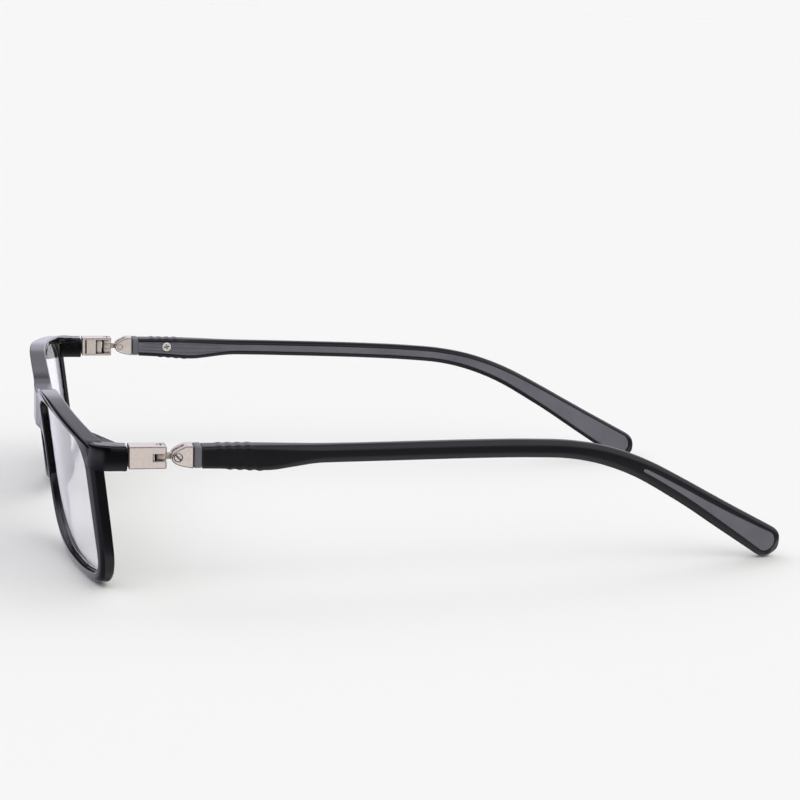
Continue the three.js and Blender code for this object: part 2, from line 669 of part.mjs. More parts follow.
const sidePieces = [
  ["lens", lensGeometry(), clear],
  ["hinge_housing", housingGeometry(), nickel],
  ["detent_block", detentBlockGeometry(), nickel],
  ["detent_spring", springGeometry(), bright],
  ["hinge_pin", hingePinGeometry(), bright],
  ["hinge_link", linkGeometry(), nickel],
  ["temple_clevis", clevisGeometry(), nickel],
  ["tilt_screw", tiltScrewGeometry(), bright],
  ["temple_core", coreGeometry(), greyCore],
  ["temple_sleeve", sleeveGeometry(), blackRubber],
  ["temple_screw", templeScrewGeometry(), bright],
];
for (const [name, geometry, finish] of sidePieces) {
  addPiece(`${name}_left`, geometry, finish);
  addPiece(`${name}_right`, mirrored(geometry), finish);
}

const object = new THREE.Group();
object.add(model);
export default object;
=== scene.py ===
"""Looks for the eyeglasses: a smooth moulded front, clear lenses, bevelled metal hinges and two-material
temples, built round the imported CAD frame. Shapes are worked out in millimetres, for the wearer's left,
and mirrored for the right."""

import bisect
import math
from types import SimpleNamespace as Sizes

import bmesh
import bpy
from mathutils import Matrix, Vector


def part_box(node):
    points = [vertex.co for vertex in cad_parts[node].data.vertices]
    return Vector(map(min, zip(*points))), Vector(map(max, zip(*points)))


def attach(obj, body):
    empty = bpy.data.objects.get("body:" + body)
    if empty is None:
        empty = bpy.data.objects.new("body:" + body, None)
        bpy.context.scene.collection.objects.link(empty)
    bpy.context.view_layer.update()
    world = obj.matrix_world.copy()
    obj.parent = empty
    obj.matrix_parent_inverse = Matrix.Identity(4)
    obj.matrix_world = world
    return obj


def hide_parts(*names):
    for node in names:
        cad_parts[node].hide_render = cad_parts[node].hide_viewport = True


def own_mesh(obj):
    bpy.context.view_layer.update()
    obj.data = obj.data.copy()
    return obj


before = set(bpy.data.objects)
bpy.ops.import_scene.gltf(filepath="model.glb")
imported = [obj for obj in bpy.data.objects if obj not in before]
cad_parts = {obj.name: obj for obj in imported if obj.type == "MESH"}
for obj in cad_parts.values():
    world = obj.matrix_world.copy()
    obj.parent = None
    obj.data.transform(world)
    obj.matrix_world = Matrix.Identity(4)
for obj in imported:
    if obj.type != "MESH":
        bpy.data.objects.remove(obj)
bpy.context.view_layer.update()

MM = 0.001

# ------ where things are
housing_low, housing_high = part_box("hinge_housing_left")
pin_low, pin_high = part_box("hinge_pin_left")
screw_low, screw_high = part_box("tilt_screw_left")
TONGUE = 4.5  # how far the housing's tongue reaches into the front
SHIFT = -housing_low.y / MM - TONGUE  # the y = 0 of these shapes is the front of the hinge housings
HALF_WIDTH = housing_high.x / MM
HINGE_TOP = housing_high.z / MM
HINGE = Sizes(width=4.7, height=4.35, length=7.25)
HALF_A, HALF_C = HINGE.width / 2, HINGE.height / 2
HINGE_X = HALF_WIDTH - HALF_A
HINGE_Z = HINGE_TOP - HALF_C
FOLD_Y = (pin_low.y + pin_high.y) / 2 / MM + SHIFT
TILT_Y = (screw_low.y + screw_high.y) / 2 / MM + SHIFT


def clamp(value, low=0.0, high=1.0):
    return max(low, min(high, value))


def lerp(a, b, share):
    return a + (b - a) * share


def smooth(value, low, high):
    """From 0 at `low` to 1 at `high`, which may be the lower number."""
    t = clamp((value - low) / (high - low))
    return t * t * (3 - 2 * t)


def look_up(table, at):
    if at <= table[0][0]:
        return table[0][1]
    for (a, value_a), (b, value_b) in zip(table, table[1:]):
        if at <= b:
            return lerp(value_a, value_b, (at - a) / (b - a))
    return table[-1][1]


def eased(table, at, spread=1.6):
    """look_up with its corners rounded off."""
    return sum(look_up(table, at + spread * k) for k in (-1, -0.5, 0, 0.5, 1)) / 5


def quarter_turn(steps):
    return [math.pi / 2 * k / steps for k in range(steps + 1)]


def bent(a, b, c, t):
    """A point on the quadratic curve from a to c, which b pulls aside."""
    return tuple((1 - t) ** 2 * p + 2 * t * (1 - t) * q + t * t * r for p, q, r in zip(a, b, c))


def quadratic(a, b, c, steps=24):
    """Points from a up to but not including c."""
    return [bent(a, b, c, k / steps) for k in range(steps)]


def place(x, y, z):
    """A point of the shapes' own millimetres, in the frame's metres."""
    return Vector((x, y - SHIFT, z)) * MM


# ------ mesh helpers
WELD = 2e-7  # metres


def loft_into(bm, rings, caps=True):
    """Quads through rings of equal length, each ring closed on itself."""
    rows = [[bm.verts.new(point) for point in ring] for ring in rings]
    count = len(rows[0])
    for here, there in zip(rows, rows[1:]):
        for k in range(count):
            n = (k + 1) % count
            bm.faces.new((here[k], here[n], there[n], there[k]))
    if caps:
        bm.faces.new(reversed(rows[0]))
        bm.faces.new(rows[-1])
    return rows


def finished_mesh(name, bm):
    """The mesh of a bmesh, with its normals facing outward."""
    bmesh.ops.recalc_face_normals(bm, faces=bm.faces)
    mesh = bpy.data.meshes.new(name)
    bm.to_mesh(mesh)
    bm.free()
    return mesh


def linked(name, mesh, material=None):
    if material:
        mesh.materials.append(material)
    obj = bpy.data.objects.new(name, mesh)
    bpy.context.scene.collection.objects.link(obj)
    return obj


def shade_smooth(mesh, angle):
    """Smooth shading, up to edges sharper than the angle in degrees."""
    for face in mesh.polygons:
        face.use_smooth = True
    mesh.set_sharp_from_angle(angle=math.radians(angle))


def new_object(name, bm, material, smooth_angle=40):
    bmesh.ops.remove_doubles(bm, verts=bm.verts, dist=WELD)
    mesh = finished_mesh(name, bm)
    shade_smooth(mesh, smooth_angle)
    return linked(name, mesh, material)


def solid_object(name, fill, material=None):
    """What `fill` draws, left flat and unwelded, to be cut and joined."""
    bm = bmesh.new()
    fill(bm)
    return linked(name, finished_mesh(name, bm), material)


def apply_modifiers(obj):
    graph = bpy.context.evaluated_depsgraph_get()
    mesh = bpy.data.meshes.new_from_object(obj.evaluated_get(graph))
    obj.modifiers.clear()
    obj.data = mesh


def bevelled(obj, width, edge_material):
    """Rounds every edge, in the edge material. Cuts come later, so that their own edges stay sharp."""
    obj.data.materials.append(edge_material)
    bevel = obj.modifiers.new("edge", "BEVEL")
    bevel.material = len(obj.data.materials) - 1
    bevel.width = width * MM
    bevel.segments = 3
    bevel.limit_method = "ANGLE"
    bevel.angle_limit = math.radians(40)
    bevel.harden_normals = False
    bevel.miter_outer = "MITER_ARC"
    apply_modifiers(obj)


def combine(obj, operation, fills):
    for fill in fills:
        tool = solid_object("tool", fill)
        modifier = obj.modifiers.new("combine", "BOOLEAN")
        modifier.operation = operation
        modifier.solver = "EXACT"
        modifier.object = tool
        apply_modifiers(obj)
        bpy.data.objects.remove(tool)


def cut(obj, *fills):
    combine(obj, "DIFFERENCE", fills)


def join(obj, *fills):
    combine(obj, "UNION", fills)


def block_into(bm, corners):
    """A block from its eight corners, in the order of three nested pairs."""
    verts = [bm.verts.new(corner) for corner in corners]
    for face in ((0, 1, 3, 2), (4, 6, 7, 5), (0, 4, 5, 1), (2, 3, 7, 6), (0, 2, 6, 4), (1, 5, 7, 3)):
        bm.faces.new([verts[i] for i in face])


def boxes(*spans):
    """Blocks laid out from the hinge's middle line: a outward, b rearward, c up."""
    def fill(bm):
        for a0, a1, b0, b1, c0, c1 in spans:
            block_into(bm, [
                place(HINGE_X + a, b, HINGE_Z + c) for a in (a0, a1) for b in (b0, b1) for c in (c0, c1)
            ])
    return fill


def rod(profile, axis, sides=48):
    """A shape turned about an axis, which is its direction and its y: "up", "out" or "back" through the
    hinge's middle line. The profile is (radius, distance along the axis) pairs."""
    direction, at_y = axis

    def fill(bm):
        rings = []
        for radius, height in profile:
            ring = []
            for k in range(sides):
                u = radius * math.cos(2 * math.pi * k / sides)
                v = radius * math.sin(2 * math.pi * k / sides)
                ring.append({
                    "up": place(HINGE_X + u, at_y + v, HINGE_Z + height),
                    "out": place(HINGE_X + height, at_y + u, HINGE_Z + v),
                    "back": place(HINGE_X + u, at_y + height, HINGE_Z + v),
                }[direction])
            rings.append(ring)
        loft_into(bm, rings)
    return fill


def plain_rod(radius, low, high, axis):
    return rod([(radius, low), (radius, high)], axis)


def rounded_profile(radius, low, high, soft):
    """The profile of a rod whose two rims are rounded by `soft`."""
    turns, middle = quarter_turn(3), radius - soft
    foot = [(middle + soft * math.sin(t), low + soft - soft * math.cos(t)) for t in turns]
    head = [(middle + soft * math.cos(t), high - soft + soft * math.sin(t)) for t in turns]
    return foot + head


def cleaned(obj):
    """Merges the stray doubles and the flat neighbours that cuts leave behind."""
    bm = bmesh.new()
    bm.from_mesh(obj.data)
    bmesh.ops.remove_doubles(bm, verts=bm.verts, dist=5e-6)
    bmesh.ops.dissolve_limit(
        bm, angle_limit=math.radians(1.0), verts=bm.verts, edges=bm.edges, use_dissolve_boundaries=False
    )
    bmesh.ops.recalc_face_normals(bm, faces=bm.faces)
    bm.to_mesh(obj.data)
    bm.free()
    return obj


def smoothed(obj, angle=35):
    """Smooth shading that keeps large flat faces flat."""
    shade_smooth(obj.data, angle)
    obj.modifiers.new("normals", "WEIGHTED_NORMAL").keep_sharp = True
    apply_modifiers(obj)
    return obj


def mirrored(obj, name):
    """The same piece on the other side of the face."""
    mesh = obj.data.copy()
    mesh.name = name
    reflect(mesh)
    return linked(name, mesh)


def reflect(mesh):
    mesh.transform(Matrix.Scale(-1, 4, (1, 0, 0)))
    mesh.flip_normals()


# ------ material helpers
class Graph:
    """A short way to write shader nodes into a node tree. Underscores in socket names stand for spaces."""

    def __init__(self, tree):
        self.tree = tree

    def feed(self, socket, value):
        if isinstance(value, bpy.types.NodeSocket):
            self.tree.links.new(value, socket)
        else:
            socket.default_value = value

    def node(self, kind, **inputs):
        made = self.tree.nodes.new("ShaderNode" + kind)
        for socket, value in inputs.items():
            self.feed(made.inputs[socket.replace("_", " ")], value)
        return made

    def ramp(self, value, low, high, at_low=0.0, at_high=1.0, shape="LINEAR"):
        """A value spread from one range to another, held at its ends."""
        made = self.node("MapRange", Value=value, From_Min=low, From_Max=high, To_Min=at_low, To_Max=at_high)
        made.interpolation_type = shape
        return made.outputs[0]

    def math(self, operation, *values, kind="Math"):
        made = self.node(kind)
        made.operation = operation
        for socket, value in zip(made.inputs, values):
            self.feed(socket, value)
        return made.outputs["Value"]

    def colour(self, share, first, second):
        made = self.node("Mix")
        made.data_type = "RGBA"
        self.feed(made.inputs["Factor"], share)
        for socket, value in (("A", first), ("B", second)):
            self.feed(made.inputs[socket], (*value, 1) if isinstance(value, tuple) else value)
        return made.outputs["Result"]


class Finish(Graph):
    """A material round one Principled shader."""

    def __init__(self, name, **sockets):
        self.material = bpy.data.materials.new(name)
        self.material.use_nodes = True
        super().__init__(self.material.node_tree)
        self.shader = self.tree.nodes["Principled BSDF"]
        self.drive(**sockets)
        self.coords = self.node("TexCoord").outputs

    def drive(self, **sockets):
        for socket, value in sockets.items():
            self.feed(self.shader.inputs[socket.replace("_", " ")], value)

    def noise(self, scale, detail=3.0, roughness=0.55, stretch=None):
        """Fine noise, drawn out along the temples where `stretch` is below 1."""
        vector = self.coords["Object"]
        if stretch:
            vector = self.node("Mapping", Vector=vector, Scale=(1, stretch, 1)).outputs[0]
        made = self.node("TexNoise", Vector=vector, Scale=scale, Detail=detail, Roughness=roughness)
        return made.outputs[0]

    def bump(self, *layers):
        """Layers are (height, distance in mm), the finest last."""
        normal = None
        for height, distance in layers:
            made = self.node("Bump", Height=height, Distance=distance * MM, Strength=1.0)
            if normal:
                self.feed(made.inputs["Normal"], normal)
            normal = made.outputs[0]
        self.drive(Normal=normal)


COOL_SHINE = (0.93, 0.92, 1.0, 1)


def front_plastic():
    m = Finish("front_plastic", IOR=1.5, Specular_IOR_Level=0.4, Specular_Tint=COOL_SHINE)
    cloud = m.noise(45, 2)
    grain = m.noise(3800, 2)
    scuff = m.noise(700, 4, 0.7, 0.3)
    m.drive(
        Base_Color=m.colour(cloud, (0.0014, 0.0013, 0.0019), (0.0028, 0.0026, 0.0036)),
        Roughness=m.math("ADD", m.ramp(scuff, 0.35, 0.75, 0.13, 0.19), m.math("MULTIPLY", grain, 0.03)),
    )
    m.bump((cloud, 0.004), (grain, 0.00008))
    return m.material


def lens_glass():
    m = Finish("lens_glass", IOR=1.52, Transmission_Weight=1.0, Specular_Tint=COOL_SHINE)
    sheen = m.noise(22, 2)
    m.drive(
        Roughness=m.ramp(sheen, 0.3, 0.7, 0.0, 0.012),
        Base_Color=m.colour(sheen, (0.975, 0.975, 1.0), (0.99, 0.98, 1.0)),
    )
    return m.material


GAP_SHADE = (0.05, 0.04, 0.036)  # painted shade, darkening the gaps between metal pieces
GAP_SHADE_REACH = 0.8
UPWARD_SHADE_COLOUR = (0.42, 0.4116, 0.4452)  # painted shade: metal faces that look up are painted darker and cooler
UPWARD_SHADE_SHARE = 0.42


def nickel(name, light, dark, roughness, metallic=0.32):
    """Warm nickel silver with a fine, slightly brushed and mottled face, with painted shade in the gaps
    between pieces and on faces that look up.
    """
    m = Finish(name, Metallic=metallic)
    facing = m.node("SeparateXYZ", Vector=m.coords["Normal"]).outputs
    # Painted shade: faces that look up are mixed towards a darker, cooler colour.
    upward_shade_mask = m.ramp(facing["Z"], 0.7, 0.95, 0.0, UPWARD_SHADE_SHARE)
    mottle = m.noise(1500, 4, 0.65)
    broad = m.noise(260, 3)
    brushed = m.noise(2600, 3, 0.6, 0.12)
    grain = m.noise(9000, 2)
    shade = m.math("MULTIPLY", m.ramp(mottle, 0.3, 0.7), m.ramp(broad, 0.3, 0.7, 0.75, 1.0))
    # Painted shade: the colour goes dark where ambient occlusion finds metal close by, in the gaps between
    # pieces.
    gap_occlusion = m.node("AmbientOcclusion", Distance=GAP_SHADE_REACH * MM)
    gap_occlusion.samples = 8
    unshaded_share = m.ramp(gap_occlusion.outputs["AO"], 0.5, 0.98)
    before_gap_shade = m.colour(upward_shade_mask, m.colour(shade, dark, light), UPWARD_SHADE_COLOUR)
    m.drive(
        Base_Color=m.colour(unshaded_share, GAP_SHADE, before_gap_shade),
        Roughness=m.ramp(brushed, 0.3, 0.72, roughness - 0.08, roughness + 0.1),
    )
    m.bump((mottle, 0.004), (brushed, 0.003), (grain, 0.002))
    return m.material


def core_plastic():
    m = Finish("core_plastic", IOR=1.48)
    cloud = m.noise(90, 3)
    grain = m.noise(4200, 3, 0.65)
    lines = m.noise(1500, 2, 0.5, 0.05)
    m.drive(
        Base_Color=m.colour(m.ramp(cloud, 0.3, 0.7), (0.125, 0.12, 0.142), (0.168, 0.162, 0.188)),
        Roughness=m.ramp(grain, 0.3, 0.7, 0.42, 0.56),
    )
    m.bump((lines, 0.0015), (grain, 0.004))
    return m.material


def sleeve_rubber():
    """Matt black, a little paler where its convex edges are worn."""
    m = Finish("sleeve_rubber", IOR=1.45, Specular_IOR_Level=0.45, Specular_Tint=(0.92, 0.91, 1.0, 1))
    cloud = m.noise(70, 4)
    grain = m.noise(4800, 3, 0.7)
    edge = m.ramp(m.node("NewGeometry").outputs["Pointiness"], 0.515, 0.6)
    base = m.colour(m.ramp(cloud, 0.3, 0.7), (0.0042, 0.0042, 0.0054), (0.0068, 0.0067, 0.0082))
    m.drive(
        Base_Color=m.colour(m.math("MULTIPLY", edge, 0.5), base, (0.045, 0.045, 0.05)),
        Roughness=m.ramp(grain, 0.3, 0.72, 0.3, 0.42),
    )
    m.bump((cloud, 0.02), (grain, 0.006))
    return m.material


FRONT_BLACK = front_plastic()
LENS_GLASS = lens_glass()
NICKEL = nickel("hinge_nickel", (0.97, 0.87, 0.8), (0.81, 0.71, 0.65), 0.36)
# Painted reflection: the rounded edges get a darker nickel, standing in for the dark line they reflect. It is
# also fully metallic and smoother, so it reflects for real too.
SHADED_EDGE = nickel("hinge_nickel_shaded_edge", (0.36, 0.3, 0.26), (0.26, 0.21, 0.18), 0.22, 1.0)
SCREW_METAL = nickel("screw_metal", (0.95, 0.91, 0.86), (0.76, 0.71, 0.66), 0.28)
LINK_METAL = nickel("link_metal", (0.8, 0.72, 0.66), (0.6, 0.53, 0.48), 0.3)
CORE_GREY = core_plastic()
SLEEVE_BLACK = sleeve_rubber()

# ------ the moulded front
FACE_Y = -14.45  # of the rims beside the bridge, at FACE_Z
FACE_Z = 29.5
LEAN = 0.13
WRAP = Sizes(start=17, spread=405)  # each rim curves back, and its outer corner curves back further
CORNER = Sizes(start=62, spread=60)
BRIDGE_Y = -14.62
BRIDGE_FLAT = 3.5  # half the width where the bridge is upright
BRIDGE_SPAN = 10.6  # and half the width where the lean is full again
BRIDGE_FOOT = (13, 20)
RIM_DEPTH = 3.3
BROW_DEEPER, SIDE_THINNER, MIDDLE_DEEPER = 0.3, 0.6, 0.4

BROW = [
    (0, 28.45), (3, 28.45), (6, 28.6), (8.2, 29.0), (10, 29.75), (12, 30.35), (15, 31.0), (20, 31.9),
    (25, 32.6), (30, 32.85), (35, 32.9), (40, 32.65), (45, 32.25), (50, 31.8), (55, 31.3), (60, 30.75),
    (64, 30.25), (66.4, 29.7),
]
TEMPORAL_AND_BOTTOM = [
    (67.5, 28.4), (67.75, 24), (67.75, 17), (67.7, 11), (67.4, 6.6), (66.4, 3.6), (64.8, 1.9), (62.5, 0.95),
    (59, 0.4), (54, 0.05), (48, 0), (42, 0.03), (37, 0.35), (31, 1.25), (25, 2.75), (19.5, 4.75), (14.8, 7.0),
    (12, 9.4), (10.9, 12.2), (10.3, 15.5), (9.8, 18.2), (8.9, 20.0), (7.0, 20.8), (4, 21.0), (0, 21.0),
]
OPENING = Sizes(nasal=11.7, temporal=64.9, bottom=2.0)
# The groove for the lens, as (distance into the rim, depth behind the face), and the lens's edge in it.
GROOVE = [(0, 1.15), (0.85, 1.5), (0.85, 2.2), (0, 2.55)]
LENS_EDGE = [
    (-0.2, 1.22), (-0.12, 1.24), (0.5, 1.64), (0.55, 1.7), (0.55, 2.0), (0.5, 2.06), (-0.12, 2.46),
    (-0.2, 2.48),
]
# Radii of the rim's long edges. The brow's front edge widens outward into a black roll.
OUTSIDE_FRONT = Sizes(low=0.85, bridge=0.4, brow=0.15, roll=1.1)
OUTSIDE_BACK = Sizes(low=0.9, bridge=0.5, brow=0.5)
OPENING_FRONT = Sizes(low=0.6, brow=0.35)
OPENING_BACK = Sizes(low=0.6, side=0.12, brow=0.5)
FILL_BORDER = 0.12  # a flat strip round each edge, where the flat filling starts


def base_face(x, z):
    """The y of the face of the two rims, which wraps and leans."""
    wrap = max(0, abs(x) - WRAP.start) ** 2 / WRAP.spread
    corner = max(0, abs(x) - CORNER.start) ** 2 / CORNER.spread
    return FACE_Y + wrap + corner + LEAN * (FACE_Z - z)


def face_y(x, z):
    """The front's face: the rims lean back, and the bridge between them is upright."""
    upright = 1 - smooth(abs(x), BRIDGE_FLAT, BRIDGE_SPAN)
    upright *= smooth(z, *BRIDGE_FOOT)
    return lerp(base_face(x, z), BRIDGE_Y, upright)


def depth_at(x, z):
    """How deep the front is: the brow is deeper than the rest, and the temporal side thinner."""
    brow = BROW_DEEPER * smooth(z, 24, 29)
    side = SIDE_THINNER * smooth(abs(x), 60, 65) * (1 - smooth(z, 26, 29.5))
    middle = MIDDLE_DEEPER * (1 - smooth(abs(x), 4, BRIDGE_SPAN))
    return RIM_DEPTH + brow - side + middle


def on_front(x, z, depth):
    return place(x, face_y(x, z) + depth, z)


def catmull_rom(four, t, gaps=(1, 1, 1)):
    """A point between the middle two of four, on the smooth curve through them all."""
    d0, d1, d2 = gaps
    point = []
    for a, b, c, d in zip(*four):
        m1 = ((b - a) / d0 - (c - a) / (d0 + d1) + (c - b) / d1) * d1
        m2 = ((c - b) / d1 - (d - b) / (d1 + d2) + (d - c) / d2) * d1
        square, cube = -3 * b + 3 * c - 2 * m1 - m2, 2 * b - 2 * c + m1 + m2
        point.append(b + m1 * t + square * t ** 2 + cube * t ** 3)
    return tuple(point)


def spline(points, step):
    """Evenly spaced points on a smooth closed curve through the given ones."""
    dense = []
    for i in range(len(points)):
        four = [points[(i + k) % len(points)] for k in (-1, 0, 1, 2)]
        dense += [catmull_rom(four, s / 12) for s in range(12)]
    return even(dense, step)


def running_lengths(points):
    lengths = [0.0]
    for a, b in zip(points, points[1:]):
        lengths.append(lengths[-1] + math.dist(a, b))
    return lengths


def even(loop, step):
    """A closed loop's points, spaced anew by about `step`."""
    loop = loop + [loop[0]]
    lengths = running_lengths(loop)
    count = max(8, round(lengths[-1] / step))
    result, j = [], 0
    for i in range(count):
        target = lengths[-1] * i / count
        while j < len(lengths) - 2 and lengths[j + 1] < target:
            j += 1
        span = lengths[j + 1] - lengths[j]
        share = (target - lengths[j]) / span if span else 0
        result.append(tuple(lerp(a, b, clamp(share)) for a, b in zip(loop[j], loop[j + 1])))
    return result


def opening_outline(step):
    """The lens opening, from the top of the brow round by the temple and back by the nose."""
    nasal, temporal, bottom = OPENING.nasal, OPENING.temporal, OPENING.bottom
    side, foot = temporal + 0.1, bottom + 0.9
    path = quadratic((34, 31.0), (45, 31.2), (58, 29.6))
    path += quadratic((58, 29.6), (temporal - 0.6, 28.8), (temporal - 0.3, 24))
    path += [(temporal - 0.3, 24), (side, bottom + 5)]
    path += quadratic((side, bottom + 5), (side, bottom + 1.3), (temporal - 3.5, foot))
    path += quadratic((temporal - 3.5, foot), (temporal - 9, bottom), (50, bottom))
    path += [(50, bottom), (42, bottom)]
    path += quadratic((42, bottom), (19, bottom + 1.4), (nasal + 1.8, 12))
    path += [(nasal + 1.8, 12), (nasal, 24.4)]
    path += quadratic((nasal, 24.4), (nasal - 0.1, 27.0), (nasal + 2.2, 27.6))
    path += quadratic((nasal + 2.2, 27.6), (24, 30.7), (34, 31.0))
    return even(path, step)


def inward_normals(loop, into):
    """Unit normals of a closed loop, pointing to its inside (into=1) or outside (into=-1)."""
    count = len(loop)
    area = sum(loop[i - 1][0] * loop[i][1] - loop[i][0] * loop[i - 1][1] for i in range(count))
    turn = into * (1 if area > 0 else -1)
    normals = []
    for i in range(count):
        (ax, az), (bx, bz) = loop[i - 1], loop[(i + 1) % count]
        length = math.hypot(bx - ax, bz - az)
        normals.append((-(bz - az) / length * turn, (bx - ax) / length * turn))
    return normals


def edge_rows(grooved):
    """Rows of a plate's edge wall, from its front face round to its back face. Each row is its distance in
    from the edge and its depth, both in shares of the front radius, then of the back radius, then in
    millimetres, and at last its share of the way to the back."""
    turns = quarter_turn(6)
    rows = [(1, 0, 0, 0, FILL_BORDER, 0, 0)]
    rows += [(1 - math.sin(t), 1 - math.cos(t), 0, 0, 0, 0, 0) for t in turns]
    if grooved:
        rows += [(0, 0, 0, 0, into, depth, 0) for into, depth in GROOVE]
    rows += [(0, 0, 1 - math.cos(t), math.sin(t) - 1, 0, 0, 1) for t in turns]
    rows.append((0, 0, 1, 0, FILL_BORDER, 0, 1))
    return rows


def outline_radii(x, z):
    """The radii of the front's outer edges, at its face and at its back."""
    brow = smooth(z, 25.5, 28.5)
    middle = 1 - smooth(abs(x), 8, 13)
    roll = lerp(OUTSIDE_FRONT.brow, OUTSIDE_FRONT.roll, smooth(abs(x), 20, 62))
    front = lerp(lerp(OUTSIDE_FRONT.low, OUTSIDE_FRONT.bridge, middle), roll, brow)
    back = lerp(lerp(OUTSIDE_BACK.low, OUTSIDE_BACK.bridge, middle), OUTSIDE_BACK.brow, brow)
    return front, back


def opening_radii(x, z):
    brow = smooth(z, 24, 28)
    side = smooth(abs(x), 60, 64)
    front = lerp(OPENING_FRONT.low, OPENING_FRONT.brow, brow)
    back = lerp(lerp(OPENING_BACK.low, OPENING_BACK.side, side), OPENING_BACK.brow, brow)
    return front, back


def wall_into(bm, loop, normals, rows, radii):
    """The edge wall of a plate: one ring of vertices for each row."""
    rings = []
    for front_in, front_deep, back_in, back_deep, more_in, more_deep, share in rows:
        ring = []
        for (x, z), (nx, nz) in zip(loop, normals):
            front, back = radii(x, z)
            offset = front_in * front + back_in * back + more_in
            depth = front_deep * front + back_deep * back + more_deep
            px, pz = x + nx * offset, z + nz * offset
            ring.append(on_front(px, pz, depth + share * depth_at(px, pz)))
        rings.append(ring)
    walls = loft_into(bm, rings, caps=False)
    return walls[0], walls[-1]


def filled(bm, rings):
    """Fills between edge rings across the front or the back face."""
    edges = []
    for ring in rings:
        for k, vert in enumerate(ring):
            pair = (vert, ring[(k + 1) % len(ring)])
            edges.append(bm.edges.get(pair) or bm.edges.new(pair))
    bmesh.ops.triangle_fill(bm, use_beauty=True, edges=edges, normal=(0, -1, 0))


def front_plate(bm):
    """The two rims and the bridge as one plate with two grooved openings."""
    right_half = BROW + TEMPORAL_AND_BOTTOM
    left_half = [(-x, z) for x, z in reversed(right_half) if x > 0]
    outline = spline(right_half + left_half, 0.55)
    opening = opening_outline(0.6)
    twin = [(-x, z) for x, z in reversed(opening)]
    fronts, backs = [], []
    for loop, radii in ((outline, outline_radii), (opening, opening_radii), (twin, opening_radii)):
        into = 1 if loop is outline else -1
        first, last = wall_into(bm, loop, inward_normals(loop, into), edge_rows(into < 0), radii)
        fronts.append(first)
        backs.append(last)
    filled(bm, fronts)
    filled(bm, backs)


def endpiece_top(x, y):
    """The endpiece's top slopes from the brow down to the hinge."""
    rim_back = base_face(x, FACE_Z) + RIM_DEPTH
    brow = max(HINGE_TOP, look_up(BROW, x) - 0.05)
    return lerp(HINGE_TOP, brow, 1 - smooth(y, rim_back - 1.5, -1.2))


def slab_into(bm, plan, bottom, top, soft, crown=0.0):
    """A block on a plan outline, with rounded upper and lower edges and, by `crown`, swollen sides."""
    loop = even(plan, 0.35)
    quarter = quarter_turn(3)
    # Each row is its distance in from the plan, its rise, and its share of the way from bottom to top.
    rows = [(soft + crown + 0.15, 0, 0)]
    rows += [(crown + soft * (1 - math.sin(t)), soft * (1 - math.cos(t)), 0) for t in quarter]
    if crown:
        rows += [(crown * (2 * k / 8 - 1) ** 2, 0, k / 8) for k in range(1, 8)]
    rows += [(crown + soft * (1 - math.cos(t)), -soft * (1 - math.sin(t)), 1) for t in quarter]
    rows += [(soft + crown + 0.15, 0, 1)]
    rings = []
    for offset, rise, share in rows:
        ring = []
        for (x, y), (nx, ny) in zip(loop, inward_normals(loop, 1)):
            px, py = x + nx * offset, y + ny * offset
            inset = soft if 0 < share < 1 else 0
            height = lerp(bottom(px) + inset, top(px, py) - inset, share)
            ring.append(place(px, py, height + rise))
        rings.append(ring)
    loft_into(bm, rings)


ENDPIECE = Sizes(inner=65.3, outer=HALF_WIDTH - 0.1, rear=-0.12, bottom=24.6, soft=0.4, crown=0.16)
# The fillet runs from the back of the brow into the endpiece's inner side. Its underside, as (x, z), stays
# behind the opening's upper corner.
FILLET = Sizes(start=58.5, rear=-1.5, drop=0.03, soft=0.3)
FILLET_UNDER = [(58.5, 29.75), (60.3, 29.3), (61.3, 28.95), (62.2, 28.55), (64, 28.4)]


def endpiece_into(bm):
    inner, rear, outer = ENDPIECE.inner, ENDPIECE.rear, ENDPIECE.outer
    start = base_face(inner, FACE_Z)
    plan = [(inner, start + 0.45)]
    plan += quadratic((inner, start + 0.45), (69.5, base_face(68, FACE_Z) + 0.2), (outer, -3.4))
    plan += [(outer, -3.4), (outer, rear), (inner, rear)]
    slab_into(bm, plan, lambda x: ENDPIECE.bottom, endpiece_top, ENDPIECE.soft, ENDPIECE.crown)
    tip, end = FILLET.start, FILLET.rear
    back = base_face(tip, FACE_Z) + RIM_DEPTH - 0.4
    fillet = [(tip, back)]
    fillet += quadratic((tip, back), (inner - 0.9, start + RIM_DEPTH + 0.4), (inner + 0.1, end))
    fillet += [(inner + 0.1, end), (inner + 1, end), (inner + 1.2, start + 1.6), (61, back - 1.2)]
    slab_into(
        bm, fillet, lambda x: look_up(FILLET_UNDER, x),
        lambda x, y: endpiece_top(max(x, 60), y) - FILLET.drop, FILLET.soft,
    )


NOSE_REST = Sizes(low=9.3, high=19.6, out=1.05, back=1.3, inward=1.35)


def nose_rest_into(bm):
    """A low pad moulded on the back of the rim's nasal side."""
    stations, sides, rings = 22, 20, []
    for i in range(stations + 1):
        share = i / stations
        z = lerp(NOSE_REST.low, NOSE_REST.high, share)
        swell = math.sin(math.pi * clamp(share)) ** 0.6 if 0 < share < 1 else 0.0
        edge = lerp(OPENING.nasal + 2.2, OPENING.nasal + 0.45, share)
        ring = []
        for k in range(sides):
            turn = 2 * math.pi * k / sides
            reach = NOSE_REST.out * swell + 0.12
            x = edge - NOSE_REST.inward + math.cos(turn) * reach - 0.5 * swell
            y = RIM_DEPTH - 0.4 + (NOSE_REST.back * swell) * (1 + math.sin(turn)) * 1.05
            ring.append(on_front(x, z, y))
        rings.append(ring)
    loft_into(bm, rings)


def front_object():
    bm = bmesh.new()
    front_plate(bm)
    for fill in (endpiece_into, nose_rest_into):
        part = bmesh.new()
        fill(part)
        mesh = finished_mesh("part", part)
        bm.from_mesh(mesh)
        reflect(mesh)
        bm.from_mesh(mesh)
        bpy.data.meshes.remove(mesh)
    return smoothed(new_object("front_moulding", bm, FRONT_BLACK), 50)


